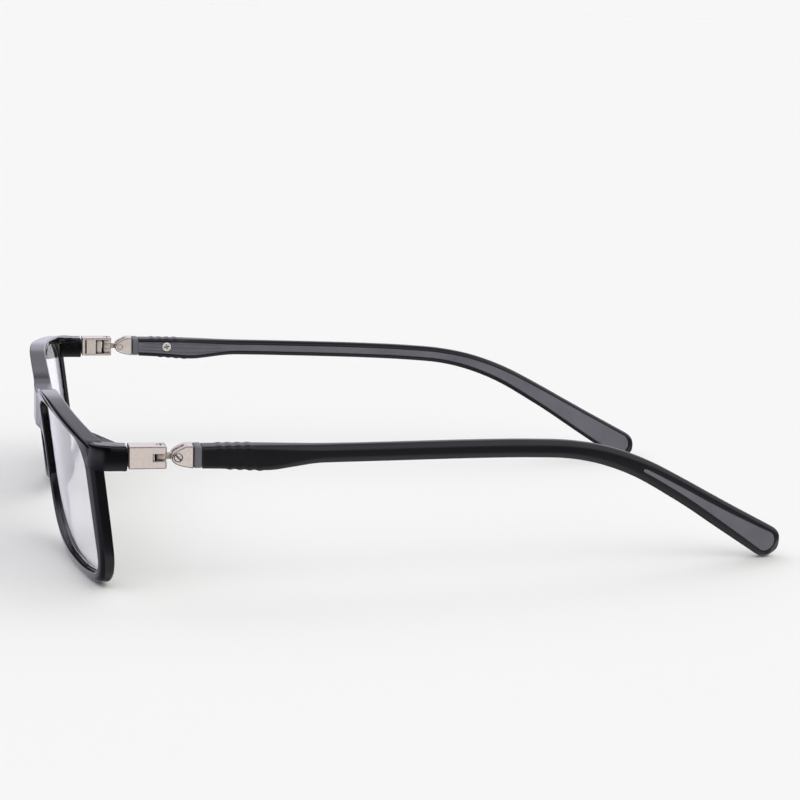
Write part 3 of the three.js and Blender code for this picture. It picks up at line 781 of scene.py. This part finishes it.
# ------ lenses
def lens_object():
    """A thin shell of even thickness that follows the rims' face, with a bevelled edge."""
    edge = opening_outline(0.6)
    normals = inward_normals(edge, -1)
    middle = ((OPENING.nasal + OPENING.temporal) / 2, (HINGE_TOP + OPENING.bottom) / 2)

    def ring(offset, depth, scale=1.0):
        points = []
        for (x, z), (nx, nz) in zip(edge, normals):
            px, pz = x + nx * offset, z + nz * offset
            px, pz = lerp(middle[0], px, scale), lerp(middle[1], pz, scale)
            points.append(place(px, base_face(px, pz) + depth, pz))
        return points

    scales = [0.04, 0.12, 0.22, 0.34, 0.46, 0.58, 0.7, 0.8, 0.88, 0.94, 0.98]
    rings = [ring(*LENS_EDGE[0], scale) for scale in scales]
    rings += [ring(*row) for row in LENS_EDGE]
    rings += [ring(*LENS_EDGE[-1], scale) for scale in reversed(scales)]
    bm = bmesh.new()
    loft_into(bm, rings)
    return new_object("lens_clear_left", bm, LENS_GLASS, 35)


# ------ hinges
FRONT_WALL = 0.75
CAP_WALL = 0.4
OUTER_WALL = 0.9
NOTCH = Sizes(start=4.6, half=0.8)  # in the housing's outer wall, for the link when it swings outward
EDGE_WIDTH = 0.2  # of the rounded edges, painted darker as the dark line that they reflect
KNUCKLE = Sizes(radius=1.15, half=0.65, gap=0.08)
LINK = Sizes(neck=0.57, eye=1.1, eye_half=0.6)
PIN = Sizes(radius=0.5, head=0.8, head_height=0.42, room=0.06, seat_room=0.12)
TILT = Sizes(radius=0.45, head=0.75, head_height=0.5, tail=0.62, tail_height=0.3, seat_room=0.14)
SUNK = 0.03  # how far a screw's ends lie below the metal round them
SEAT_DEEPER = 0.1
SLOT = Sizes(half=0.16, depth=0.22)
BLOCK = Sizes(start=1.15, end=4.9, step=3.4, step_depth=0.7, bore=0.75, bore_end=3.6)
BLOCK_GROOVE = Sizes(end=3.7, depth=1.3)
SPRING = Sizes(start=0.95, end=3.4, turns=4, radius=0.52, wire=0.12)
CLEVIS = Sizes(nose=8.24, shoulder=11.0, end=12.48, slot=0.7, slot_end=10.72)
FOLD_AXIS, TILT_AXIS, HINGE_LINE = ("up", FOLD_Y), ("out", TILT_Y), ("back", 0)
OVER = 1  # how far a cut runs past the surface
THROUGH = 5  # a cut right through a piece, both ways from its middle


def housing_object():
    """A box open at the back and the inner side, with a notch outside and two knuckles for the pin."""
    a, c = HALF_A, HALF_C
    inside, end = c - CAP_WALL, HINGE.length + OVER
    obj = solid_object("housing_left", boxes((-a, a, 0, HINGE.length, -c, c)), NICKEL)
    bevelled(obj, EDGE_WIDTH, SHADED_EDGE)
    cut(
        obj,
        boxes((-a - OVER, a - OUTER_WALL, FRONT_WALL, end, -inside, inside)),
        boxes((0, a + OVER, NOTCH.start, end, -NOTCH.half, NOTCH.half)),
    )
    near, far = KNUCKLE.half + KNUCKLE.gap, c - CAP_WALL / 2
    join(obj, *(
        plain_rod(KNUCKLE.radius, low, high, FOLD_AXIS) for low, high in ((near, far), (-far, -near))
    ))
    seat = c - PIN.head_height - SEAT_DEEPER
    cut(
        obj,
        plain_rod(PIN.radius + PIN.room, -c - OVER, c + OVER, FOLD_AXIS),
        plain_rod(PIN.head + PIN.seat_room, seat, c + OVER, FOLD_AXIS),
    )
    return smoothed(obj)


def detent_object():
    """The block that slides in the housing, stepped on its inner side and bored for its spring."""
    inner, outer = -HALF_A, HALF_A - OUTER_WALL - 0.25
    half = HALF_C - CAP_WALL - 0.04
    far = half + OVER
    whole = boxes((inner, outer, BLOCK.start, BLOCK.end, -half, half))
    obj = solid_object("detent_left", whole, NICKEL)
    cut(
        obj,
        boxes((inner - OVER, inner + BLOCK.step_depth, BLOCK.step, BLOCK.end + OVER, -far, far)),
        boxes((inner - OVER, inner + BLOCK_GROOVE.depth, BLOCK.step, BLOCK_GROOVE.end, -far, far)),
        plain_rod(BLOCK.bore, BLOCK.start - OVER, BLOCK.bore_end, HINGE_LINE),
    )
    return smoothed(cleaned(obj))


def coil_object():
    """The small compression spring behind the detent block."""
    bm = bmesh.new()
    sides, steps, wire = 10, SPRING.turns * 28, SPRING.wire
    rings = []
    for i in range(steps + 1):
        angle = 2 * math.pi * SPRING.turns * i / steps
        outward = Vector((math.cos(angle), 0, math.sin(angle)))
        along = lerp(SPRING.start, SPRING.end, i / steps)
        centre = Vector((HINGE_X, along, HINGE_Z)) + outward * SPRING.radius
        rings.append([
            place(*(centre + outward * wire * math.cos(t) + Vector((0, wire * math.sin(t), 0))))
            for t in (2 * math.pi * k / sides for k in range(sides))
        ])
    loft_into(bm, rings)
    return new_object("detent_coil_left", bm, SCREW_METAL, 60)


def pin_object():
    """The vertical screw on the fold axis."""
    top = HALF_C - SUNK
    head = rounded_profile(PIN.head, top - PIN.head_height, top, 0.09)
    obj = solid_object("hinge_pin_turned_left", rod(head, FOLD_AXIS), SCREW_METAL)
    join(obj, plain_rod(PIN.radius, -HALF_C + 0.1, top - 0.2, FOLD_AXIS))
    slot = (FOLD_Y - SLOT.half, FOLD_Y + SLOT.half, top - SLOT.depth, top + OVER)
    cut(obj, boxes((-2, 2, *slot)))
    return smoothed(cleaned(obj))


def link_object():
    """A barrel on the pin, a neck, and an eye on the tilt screw."""
    neck, eye_half = LINK.neck, LINK.eye_half
    barrel = rounded_profile(KNUCKLE.radius, -KNUCKLE.half, KNUCKLE.half, 0.08)
    obj = solid_object("link_left", rod(barrel, FOLD_AXIS), LINK_METAL)
    join(
        obj,
        boxes((-neck, neck, FOLD_Y + 0.8, TILT_Y - 0.7, -neck, neck)),
        rod(rounded_profile(LINK.eye, -eye_half, eye_half, 0.07), TILT_AXIS),
    )
    cut(
        obj,
        plain_rod(PIN.radius + PIN.room, -THROUGH, THROUGH, FOLD_AXIS),
        plain_rod(TILT.radius + PIN.room, -THROUGH, THROUGH, TILT_AXIS),
    )
    return smoothed(cleaned(obj))


def clevis_side():
    """The clevis in side view, as (y, height above the hinge's middle)."""
    top, nose, end = HALF_C, CLEVIS.nose, CLEVIS.end
    brow, chin = (TILT_Y + 0.24, top - 0.6), (TILT_Y + 1.2, top - 4.05)
    outline = [(end, top), (CLEVIS.shoulder, top), brow]
    outline += quadratic(brow, (nose, top - 1.3), (nose, top - 2.47), 10)[1:]
    outline += quadratic((nose, top - 2.47), (nose + 0.1, top - 3.5), chin, 10)
    return outline + [chin, (end, -top)]


def clevis_object():
    """Two ears round the link's eye, with a bore for the tilt screw and seats for its ends."""
    half = HALF_A

    def ears(bm):
        loft_into(bm, [
            [place(HINGE_X + a, y, HINGE_Z + c) for y, c in clevis_side()] for a in (-half, half)
        ])

    obj = solid_object("clevis_left", ears, NICKEL)
    bevelled(obj, EDGE_WIDTH, SHADED_EDGE)
    head_seat, tail_seat = TILT.head_height + SEAT_DEEPER, TILT.tail_height + SEAT_DEEPER
    cut(
        obj,
        boxes((-CLEVIS.slot, CLEVIS.slot, 0, CLEVIS.slot_end, -THROUGH, THROUGH)),
        plain_rod(TILT.radius + PIN.room, -THROUGH, THROUGH, TILT_AXIS),
        plain_rod(TILT.head + TILT.seat_room, half - head_seat, half + OVER, TILT_AXIS),
        plain_rod(TILT.tail + 0.08, -half - OVER, -half + tail_seat, TILT_AXIS),
    )
    return smoothed(obj)


def driver_slot(a0, a1, reach, half, at_y, turn):
    """A bar across a screw head that faces outward or inward, turned about the screw's own axis."""
    def corner(a, u, v):
        y = u * math.cos(turn) - v * math.sin(turn)
        c = u * math.sin(turn) + v * math.cos(turn)
        return place(HINGE_X + a, at_y + y, HINGE_Z + c)

    return lambda bm: block_into(bm, [
        corner(a, u, v) for a in (a0, a1) for u in (-reach, reach) for v in (-half, half)
    ])


def tilt_screw_object():
    outer = HALF_A - SUNK
    head = rounded_profile(TILT.head, outer - TILT.head_height, outer, 0.1)
    tail = rounded_profile(TILT.tail, -outer, -outer + TILT.tail_height, 0.07)
    obj = solid_object("tilt_screw_turned_left", rod(head, TILT_AXIS), SCREW_METAL)
    shank = plain_rod(TILT.radius, -outer + 0.1, outer - 0.2, TILT_AXIS)
    join(obj, shank, rod(tail, TILT_AXIS))
    cut(obj, driver_slot(outer - 0.24, outer + 0.5, 1.5, 0.14, TILT_Y, -math.pi / 4))
    return smoothed(cleaned(obj))


# ------ temples
SPINE = [
    (14, 27.12), (30, 27.07), (50, 26.95), (70, 26.75), (82, 26.4), (91, 25.75),
    (98.5, 24.2), (106.5, 21.25), (116, 16.2), (128, 9.1), (140.4, 1.85),
]
UPPER = [(14, 2.15), (24, 2.15), (37, 1.85), (92, 1.85), (106, 2.1), (120, 2.5), (138, 3.45)]
LOWER = [(14, 2.2), (20, 2.45), (27.8, 3.05), (37, 1.8), (92, 1.85), (106, 2.1), (120, 2.5), (138, 3.45)]
THICK = [(14, 2.3), (22, 2.1), (45, 1.5), (110, 1.45), (141, 1.35)]
COLLAR = (12.6, 14.02)
SLEEVE_START = 14.2
ROUND_END = 3.6
RIBS = Sizes(first=17.6, pitch=1.9, count=4, height=0.16, slant=-0.45)
TIP_WINDOW = Sizes(start=107, half=0.5, border=1.0, end=1.6)
RECESS = 0.32  # how deep the core's inlays are let into the sleeve
INLAY_END = 1.5  # where the inner inlay stops, before the tip
INLAY_GAP = 0.06
GROOVES = Sizes(start=14.8, end=37.5, count=3, depth=0.2)
SCREW_Y = 21.2
SCREW_AXIS = ("out", SCREW_Y)
SCREW_SEAT = Sizes(radius=1.26, depth=0.34)


def centripetal(points, per_span=40):
    """Points along the centripetal Catmull-Rom curve through the given ones."""
    first = tuple(2 * a - b for a, b in zip(points[0], points[1]))
    last = tuple(2 * a - b for a, b in zip(points[-1], points[-2]))
    ends = [first, *points, last]
    curve = []
    for i in range(len(points) - 1):
        four = ends[i:i + 4]
        gaps = [math.sqrt(math.dist(a, b)) for a, b in zip(four, four[1:])]
        curve += [catmull_rom(four, s / per_span, gaps) for s in range(per_span)]
    return curve + [points[-1]]


SPINE_LINE = centripetal(SPINE)
SPINE_LENGTHS = running_lengths(SPINE_LINE)
SPINE_TOTAL = SPINE_LENGTHS[-1]
LENGTH_BY_Y = [(y, length) for (y, z), length in zip(SPINE_LINE, SPINE_LENGTHS)]


def spine_at(length):
    """(y, z, slope direction) at a distance along the temple's middle line."""
    length = clamp(length, 0, SPINE_TOTAL)
    low = min(bisect.bisect_right(SPINE_LENGTHS, length), len(SPINE_LENGTHS) - 1) - 1
    share = (length - SPINE_LENGTHS[low]) / (SPINE_LENGTHS[low + 1] - SPINE_LENGTHS[low])
    (ay, az), (by, bz) = SPINE_LINE[low:low + 2]
    run = math.dist((ay, az), (by, bz))
    return lerp(ay, by, share), lerp(az, bz, share), ((by - ay) / run, (bz - az) / run)


def length_of(y):
    return look_up(LENGTH_BY_Y, y)


def outer_x(y):
    run = y - COLLAR[1]
    return HALF_WIDTH - 0.1 - 0.075 * run - 0.00051 * run * run


def rib_at(y, height):
    """The grip ribs' rise. They slant, so their place depends on the height up the side."""
    turn = (y - RIBS.slant * height - RIBS.first) / RIBS.pitch
    if turn < 0 or turn > RIBS.count:
        return 0.0
    return RIBS.height * math.sin(math.pi * turn) ** 2


def rounding(distance, radius):
    """How far a rounded end has opened, from 0 to 1, at a distance from its tip."""
    return math.sqrt(1 - max(0.0, 1 - distance / radius) ** 2)


def station(length):
    """What the temple's cross-section needs to know at a distance along its middle line."""
    y, z, (dy, dz) = spine_at(length)
    remaining = SPINE_TOTAL - length
    return Sizes(
        y=y, z=z, up=(-dz, dy), outer=outer_x(y), full=2 * look_up(THICK, y), above=eased(UPPER, y),
        below=eased(LOWER, y), remaining=remaining, closing=rounding(remaining, ROUND_END),
    )


def on_temple(s, inward, height):
    return place(s.outer - inward, s.y + s.up[0] * height, s.z + s.up[1] * height)


def softened(corners, radius, steps=3):
    """A closed outline with each corner replaced by a short arc of steps + 1 points."""
    result = []
    for i, corner in enumerate(corners):
        ends = []
        for other in (corners[i - 1], corners[(i + 1) % len(corners)]):
            gap = math.dist(corner, other)
            reach = min(radius, 0.45 * gap) / gap if gap > 1e-9 else 0
            ends.append(tuple(lerp(a, b, reach) for a, b in zip(corner, other)))
        result += [bent(ends[0], corner, ends[1], k / steps) for k in range(steps + 1)]
    return result


def border_at(y):
    """How wide the sleeve's edge is above and below the inner inlay."""
    return lerp(lerp(0.78, 0.92, smooth(y, 25, 40)), 0.72, smooth(y, 100, 125))


def channel_halves(s):
    """Heights of the inner inlay above and below the middle line."""
    before_end = s.remaining - INLAY_END
    if before_end <= 0:
        return 0.0, 0.0
    return tuple((half - border_at(s.y)) * rounding(before_end, 2.6) for half in (s.above, s.below))


def window_half(s):
    """Half height of the outer inlay, which widens from a point near the bend to the tip."""
    start, end = length_of(TIP_WINDOW.start), SPINE_TOTAL - TIP_WINDOW.end
    at = SPINE_TOTAL - s.remaining
    if at <= start or at >= end:
        return 0.0
    full = s.above - TIP_WINDOW.border
    half = lerp(TIP_WINDOW.half, full, (at - start) / (end - start))
    return half * rounding(at - start, 1.2) * rounding(end - at, 2.2)


def recess(face, into, up, down):
    """Four points, from the top down, of a recess in a flat side, or of the side where there is none."""
    if up + down < 0.05:
        return [(face, 0)] * 4
    return [(face, up), (face + into, up - 0.02), (face + into, -down + 0.02), (face, -down)]


def ribbed(s, ring, tall):
    """The grip ribs swell the top, the bottom and the outer side."""
    for inward, height in ring:
        rise = rib_at(s.y, height)
        if rise > 0 and inward < s.full - 0.2:
            reach = clamp(abs(height) / tall)
            inward -= 0.6 * rise * (1 - smooth(inward, 0.1, 1.2))
            height += rise * reach * math.copysign(1, height)
        yield inward, height


def sleeve_ring(s):
    """The sleeve's cross-section, with a recess for the inlay on each side where there is one."""
    closing = s.closing
    above, below = s.above * closing, s.below * closing
    slim = 0.3 * s.full * (1 - smooth(s.remaining, 0, 1.6))  # the very end is thinner too
    outer, inner = slim, s.full - slim
    flatter = smooth(s.y, 16, 42)  # the section is boxy at the hinge and softer behind it
    drop = lerp(lerp(0.45, 1.05, flatter), 0.72, smooth(s.y, 100, 120)) * closing
    across = lerp(0.4, 0.75, flatter)
    corners = [
        (outer, above - drop), (outer + across * 0.9, above),
        (inner - across, above), (inner, above - drop * 0.6),
        (inner, -below + drop * 0.6), (inner - across, -below),
        (outer + across * 0.9, -below), (outer, -below + drop),
    ]
    ring = list(ribbed(s, softened(corners, 0.28 * (0.35 + 0.65 * closing)), max(above, below)))
    half_way = len(ring) // 2  # on the flat inner side, as the ring's end is on the outer side
    inside = recess(inner, -RECESS, *channel_halves(s))
    wide = window_half(s)
    outside = reversed(recess(outer, RECESS, wide, wide))
    return [on_temple(s, *point) for point in (*ring[:half_way], *inside, *ring[half_way:], *outside)]


def sleeve_lengths():
    """Where the sleeve's rings stand: close together on the ribs and towards the rounded tip."""
    places = [length_of(SLEEVE_START), length_of(SLEEVE_START) + 0.12]
    at = places[-1]
    while at < SPINE_TOTAL - ROUND_END - 3:
        y = spine_at(at)[0]
        at += 0.14 if RIBS.first - 1 < y < 26.5 else 0.8
        places.append(at)
    while places[-1] < SPINE_TOTAL - 0.02:
        left = SPINE_TOTAL - places[-1]
        places.append(min(SPINE_TOTAL - 0.01, places[-1] + clamp(left * 0.09, 0.035, 0.4)))
    return places


def sleeve_object():
    bm = bmesh.new()
    loft_into(bm, [sleeve_ring(station(length)) for length in sleeve_lengths()])
    return new_object("sleeve_left", bm, SLEEVE_BLACK, 32)


def grooves_at(y, share):
    """The shallow lengthwise grooves near the front of the inner inlay."""
    start, end = GROOVES.start, GROOVES.end
    if not start < y < end:
        return 0.0
    fade = smooth(y, start, start + 0.8) * (1 - smooth(y, end - 3.5, end))
    return GROOVES.depth * fade * max(0.0, -math.cos(2 * math.pi * GROOVES.count * share))


def inlay_ring(s, up, down, face, floor, grooves=False):
    """A slim strip: its face stands at `face`, with rounded edges, and its back at `floor`."""
    columns, edge, edge_width = 37, 0.16, 0.22
    into = math.copysign(1, floor - face)
    points = []
    for k in range(columns):
        share = k / (columns - 1)
        near = min(share, 1 - share) * (up + down)
        dip = edge * (1 - clamp(near / edge_width)) ** 2
        if grooves:
            dip += grooves_at(s.y, share)
        points.append(on_temple(s, face + into * dip, lerp(up, -down, share)))
    return points + [on_temple(s, floor, -down), on_temple(s, floor, up)]


def collar_into(bm):
    """The core's collar between the clevis and the sleeve, and its spigot inside the sleeve's mouth."""
    a, c = HALF_A - 0.05, HALF_C
    outline = softened([(-a, -c), (a, -c), (a, c), (-a, c)], 0.7, 6)

    def ring(y, across, up):
        return [place(HINGE_X + u * across, y, HINGE_Z + v * up) for u, v in outline]

    start, end = COLLAR
    soft = 0.13
    rows = [(start, soft), (start + soft * 0.4, soft * 0.35), (start + soft, 0)]
    rows += [(end - soft, 0), (end - soft * 0.4, soft * 0.35), (end, soft)]
    loft_into(bm, [ring(y, (a - inset) / a, (c - inset) / c) for y, inset in rows])
    loft_into(bm, [ring(y, 0.72, 0.8) for y in (end - 0.3, SLEEVE_START + 0.8)])


INNER_FACE = outer_x(SCREW_Y) - 2 * look_up(THICK, SCREW_Y) - HINGE_X  # at the temple screw


def core_object():
    """The collar, the long strip let into the sleeve's inner side, and the window near the tip."""
    inner_rings, outer_rings = [], []
    for length in [0.0, *sleeve_lengths()]:
        s = station(length)
        up, down = (half - INLAY_GAP for half in channel_halves(s))
        if up > 0.05 and down > 0.05:
            inner_rings.append(inlay_ring(s, up, down, s.full - 0.05, s.full - RECESS - 0.1, True))
        wide = window_half(s) - INLAY_GAP
        if wide > 0.05:
            outer_rings.append(inlay_ring(s, wide, wide, 0.05, RECESS + 0.1))
    strip = solid_object("strip", lambda bm: loft_into(bm, inner_rings))
    seat_end = INNER_FACE + SCREW_SEAT.depth
    cut(strip, plain_rod(SCREW_SEAT.radius, INNER_FACE - OVER, seat_end, SCREW_AXIS))
    bm = bmesh.new()
    bm.from_mesh(strip.data)
    bpy.data.objects.remove(strip)
    loft_into(bm, outer_rings)
    collar_into(bm)
    return new_object("core_left", bm, CORE_GREY, 38)


def temple_screw_object():
    """A low domed head with a cross in it, on the temple's inner side."""
    face = INNER_FACE - 0.05
    # As (radius, distance outward from the face of the temple).
    profile = [(0.01, 0.16), (0.55, 0.13), (0.85, 0.06), (1.02, 0.03), (1.12, 0.09), (1.15, 0.2), (1.15, 0.5)]
    head = rod([(radius, face + height) for radius, height in profile], SCREW_AXIS)
    obj = solid_object("temple_screw_turned_left", head, SCREW_METAL)
    for turn in (0.25, 0.25 + math.pi / 2):
        cut(obj, driver_slot(face - 0.4, face + 0.36, 0.66, 0.14, SCREW_Y, turn))
    return smoothed(cleaned(obj))


# ------ putting it together
def settle(obj, node, body, slot):
    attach(obj, body)
    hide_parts(node)


settle(front_object(), "front_frame", "front", "front_plastic")

SIDE_PIECES = [
    (lens_object, "lens", "front", "lens_clear"),
    (housing_object, "hinge_housing", "front", "hinge_metal"),
    (coil_object, "detent_spring", "front", "screw_metal"),
    (pin_object, "hinge_pin", "front", "screw_metal"),
    (detent_object, "detent_block", "detent", "hinge_metal"),
    (link_object, "hinge_link", "link", "hinge_metal"),
    (clevis_object, "temple_clevis", "temple", "hinge_metal"),
    (tilt_screw_object, "tilt_screw", "temple", "screw_metal"),
    (core_object, "temple_core", "temple", "core_plastic"),
    (sleeve_object, "temple_sleeve", "temple", "sleeve_rubber"),
    (temple_screw_object, "temple_screw", "temple", "screw_metal"),
]
for make, node, body, slot in SIDE_PIECES:
    piece = make()
    twin = mirrored(piece, piece.name.replace("_left", "_right"))
    for obj, side in ((piece, "left"), (twin, "right")):
        settle(obj, f"{node}_{side}", body if body == "front" else f"{body}_{side}", slot)
        if node == "detent_spring":
            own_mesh(obj)

# ------ floor, light and camera
scene = bpy.context.scene
scene.view_settings.view_transform = "Standard"
world = bpy.data.worlds.new("studio")
world.use_nodes = True
scene.world = world
BACKDROP = 0.93  # what the camera sees beyond the floor
BRIGHTEST = 2.0  # the colour ramps hold brightness as a share of this
# Brightness of the dome by the height of the direction, on the open side and on the dim side.
OPEN_SIDE = [
    (-1, 0.2), (-0.42, 0.35), (-0.2, 1.0), (-0.08, 1.15), (0.05, 1.25), (0.18, 1.2), (0.36, 0.7), (0.48, 0.9),
    (0.6, 1.5), (0.84, 1.5), (0.94, 0.3), (1, 0.1),
]
DIM_SIDE = [
    (-1, 0.9), (-0.5, 0.9), (-0.3, 0.16), (0.02, 0.08), (0.2, 0.7), (0.35, 1.1), (0.6, 1.5), (0.84, 1.5),
    (0.94, 0.3), (1, 0.1),
]
DIM_TOWARDS = (0.53, 0.85, 0.0)
DIM_FROM, DIM_TO = -0.22, 0.15  # where along that direction the dome turns from open to dim
OPEN_TINT = (0.9, 0.885, 1.0)
# A dark flag stands in front, above the horizon. It blackens the rolled edge along the top of the front.
FLAG = Sizes(side=(0.02, -0.12), foot=(-0.08, 0.02), head=(0.46, 0.36), left=0.05)


def dome_at(x, y, z):
    dim = smooth(x * DIM_TOWARDS[0] + y * DIM_TOWARDS[1], DIM_FROM, DIM_TO)
    flag = smooth(y, *FLAG.side) * smooth(z, *FLAG.foot) * smooth(z, *FLAG.head)
    value = lerp(look_up(OPEN_SIDE, z), look_up(DIM_SIDE, z), dim)
    return value * lerp(1.0, FLAG.left, flag), dim


def floor_light():
    """How bright the dome makes a white floor in red, green and blue, from a sum over its upper half."""
    rows, columns, total = 60, 72, [0.0, 0.0, 0.0]
    for i in range(rows):
        z = (i + 0.5) / rows
        for j in range(columns):
            turn = 2 * math.pi * j / columns
            across = math.sqrt(1 - z * z)
            value, dim = dome_at(across * math.cos(turn), across * math.sin(turn), z)
            for k in range(3):
                total[k] += value * lerp(OPEN_TINT[k], 1.0, dim) * 2 * z / rows / columns
    return total


def studio_light(strength):
    """The dome of dome_at in shader nodes, and a plain backdrop where the camera looks past the floor."""
    sky = Graph(world.node_tree)
    direction = sky.node("TexCoord").outputs["Generated"]
    along = sky.node("SeparateXYZ", Vector=direction).outputs
    height = sky.ramp(along["Z"], -1.0, 1.0)

    def step(value, low, high):
        return sky.ramp(value, low, high, shape="SMOOTHSTEP")

    def painted(table, tint):
        made = sky.node("ValToRGB", Fac=height)
        stops = made.color_ramp.elements
        while len(stops) < len(table):
            stops.new(0.5)
        for stop, (at, value) in zip(stops, table):
            stop.position = (at + 1) / 2
            stop.color = (*(value / BRIGHTEST * share for share in tint), 1)
        return made.outputs["Color"]

    towards = sky.math("DOT_PRODUCT", direction, DIM_TOWARDS, kind="VectorMath")
    flag = step(along["Y"], *FLAG.side)
    for edge in (FLAG.foot, FLAG.head):
        flag = sky.math("MULTIPLY", flag, step(along["Z"], *edge))
    shine = sky.math("SUBTRACT", 1.0, sky.math("MULTIPLY", flag, 1.0 - FLAG.left))
    dome = sky.tree.nodes["Background"]
    sky.feed(dome.inputs["Strength"], sky.math("MULTIPLY", shine, BRIGHTEST * strength))
    sky.feed(dome.inputs["Color"], sky.colour(
        step(towards, DIM_FROM, DIM_TO), painted(OPEN_SIDE, OPEN_TINT), painted(DIM_SIDE, (1.0, 1.0, 1.0)),
    ))
    backdrop = sky.node("Background", Color=(BACKDROP, BACKDROP, BACKDROP, 1))
    seen = sky.node("MixShader", Fac=sky.node("LightPath").outputs["Is Camera Ray"])
    sky.feed(seen.inputs[1], dome.outputs[0])
    sky.feed(seen.inputs[2], backdrop.outputs[0])
    sky.feed(sky.tree.nodes["World Output"].inputs["Surface"], seen.outputs[0])


FLOOR_TONE = 0.9
falling = floor_light()
studio_light(BACKDROP / FLOOR_TONE / max(falling))
FLOOR_COLOUR = [FLOOR_TONE * max(falling) / part for part in falling]  # evens out the dome's tint

floor_bm = bmesh.new()
bmesh.ops.create_grid(floor_bm, x_segments=8, y_segments=8, size=40.0)
floor_look = Finish("pale_floor", Roughness=0.9, Specular_IOR_Level=0.0)
floor_look.drive(Base_Color=floor_look.colour(
    floor_look.noise(3, 2),
    tuple(part * 0.995 for part in FLOOR_COLOUR), tuple(part * 1.005 for part in FLOOR_COLOUR),
))
floor = new_object("floor", floor_bm, floor_look.material)
floor.visible_glossy = False  # reflections see the dome below the horizon instead


CAMERA_AT = Vector((480.70, -99.19, 114.35)) * MM
CAMERA_TO = Vector((0, 4.7, 25.2)) * MM
CAMERA_ROLL = math.radians(1.76)
camera_data = bpy.data.cameras.new("camera")
camera_data.lens = 98.4
camera_data.sensor_width = 36
camera_data.clip_start = 0.01
camera = bpy.data.objects.new("camera", camera_data)
aim = (CAMERA_TO - CAMERA_AT).to_track_quat("-Z", "Y").to_matrix() @ Matrix.Rotation(CAMERA_ROLL, 3, "Z")
camera.matrix_world = Matrix.Translation(CAMERA_AT) @ aim.to_4x4()
scene.collection.objects.link(camera)
scene.camera = camera
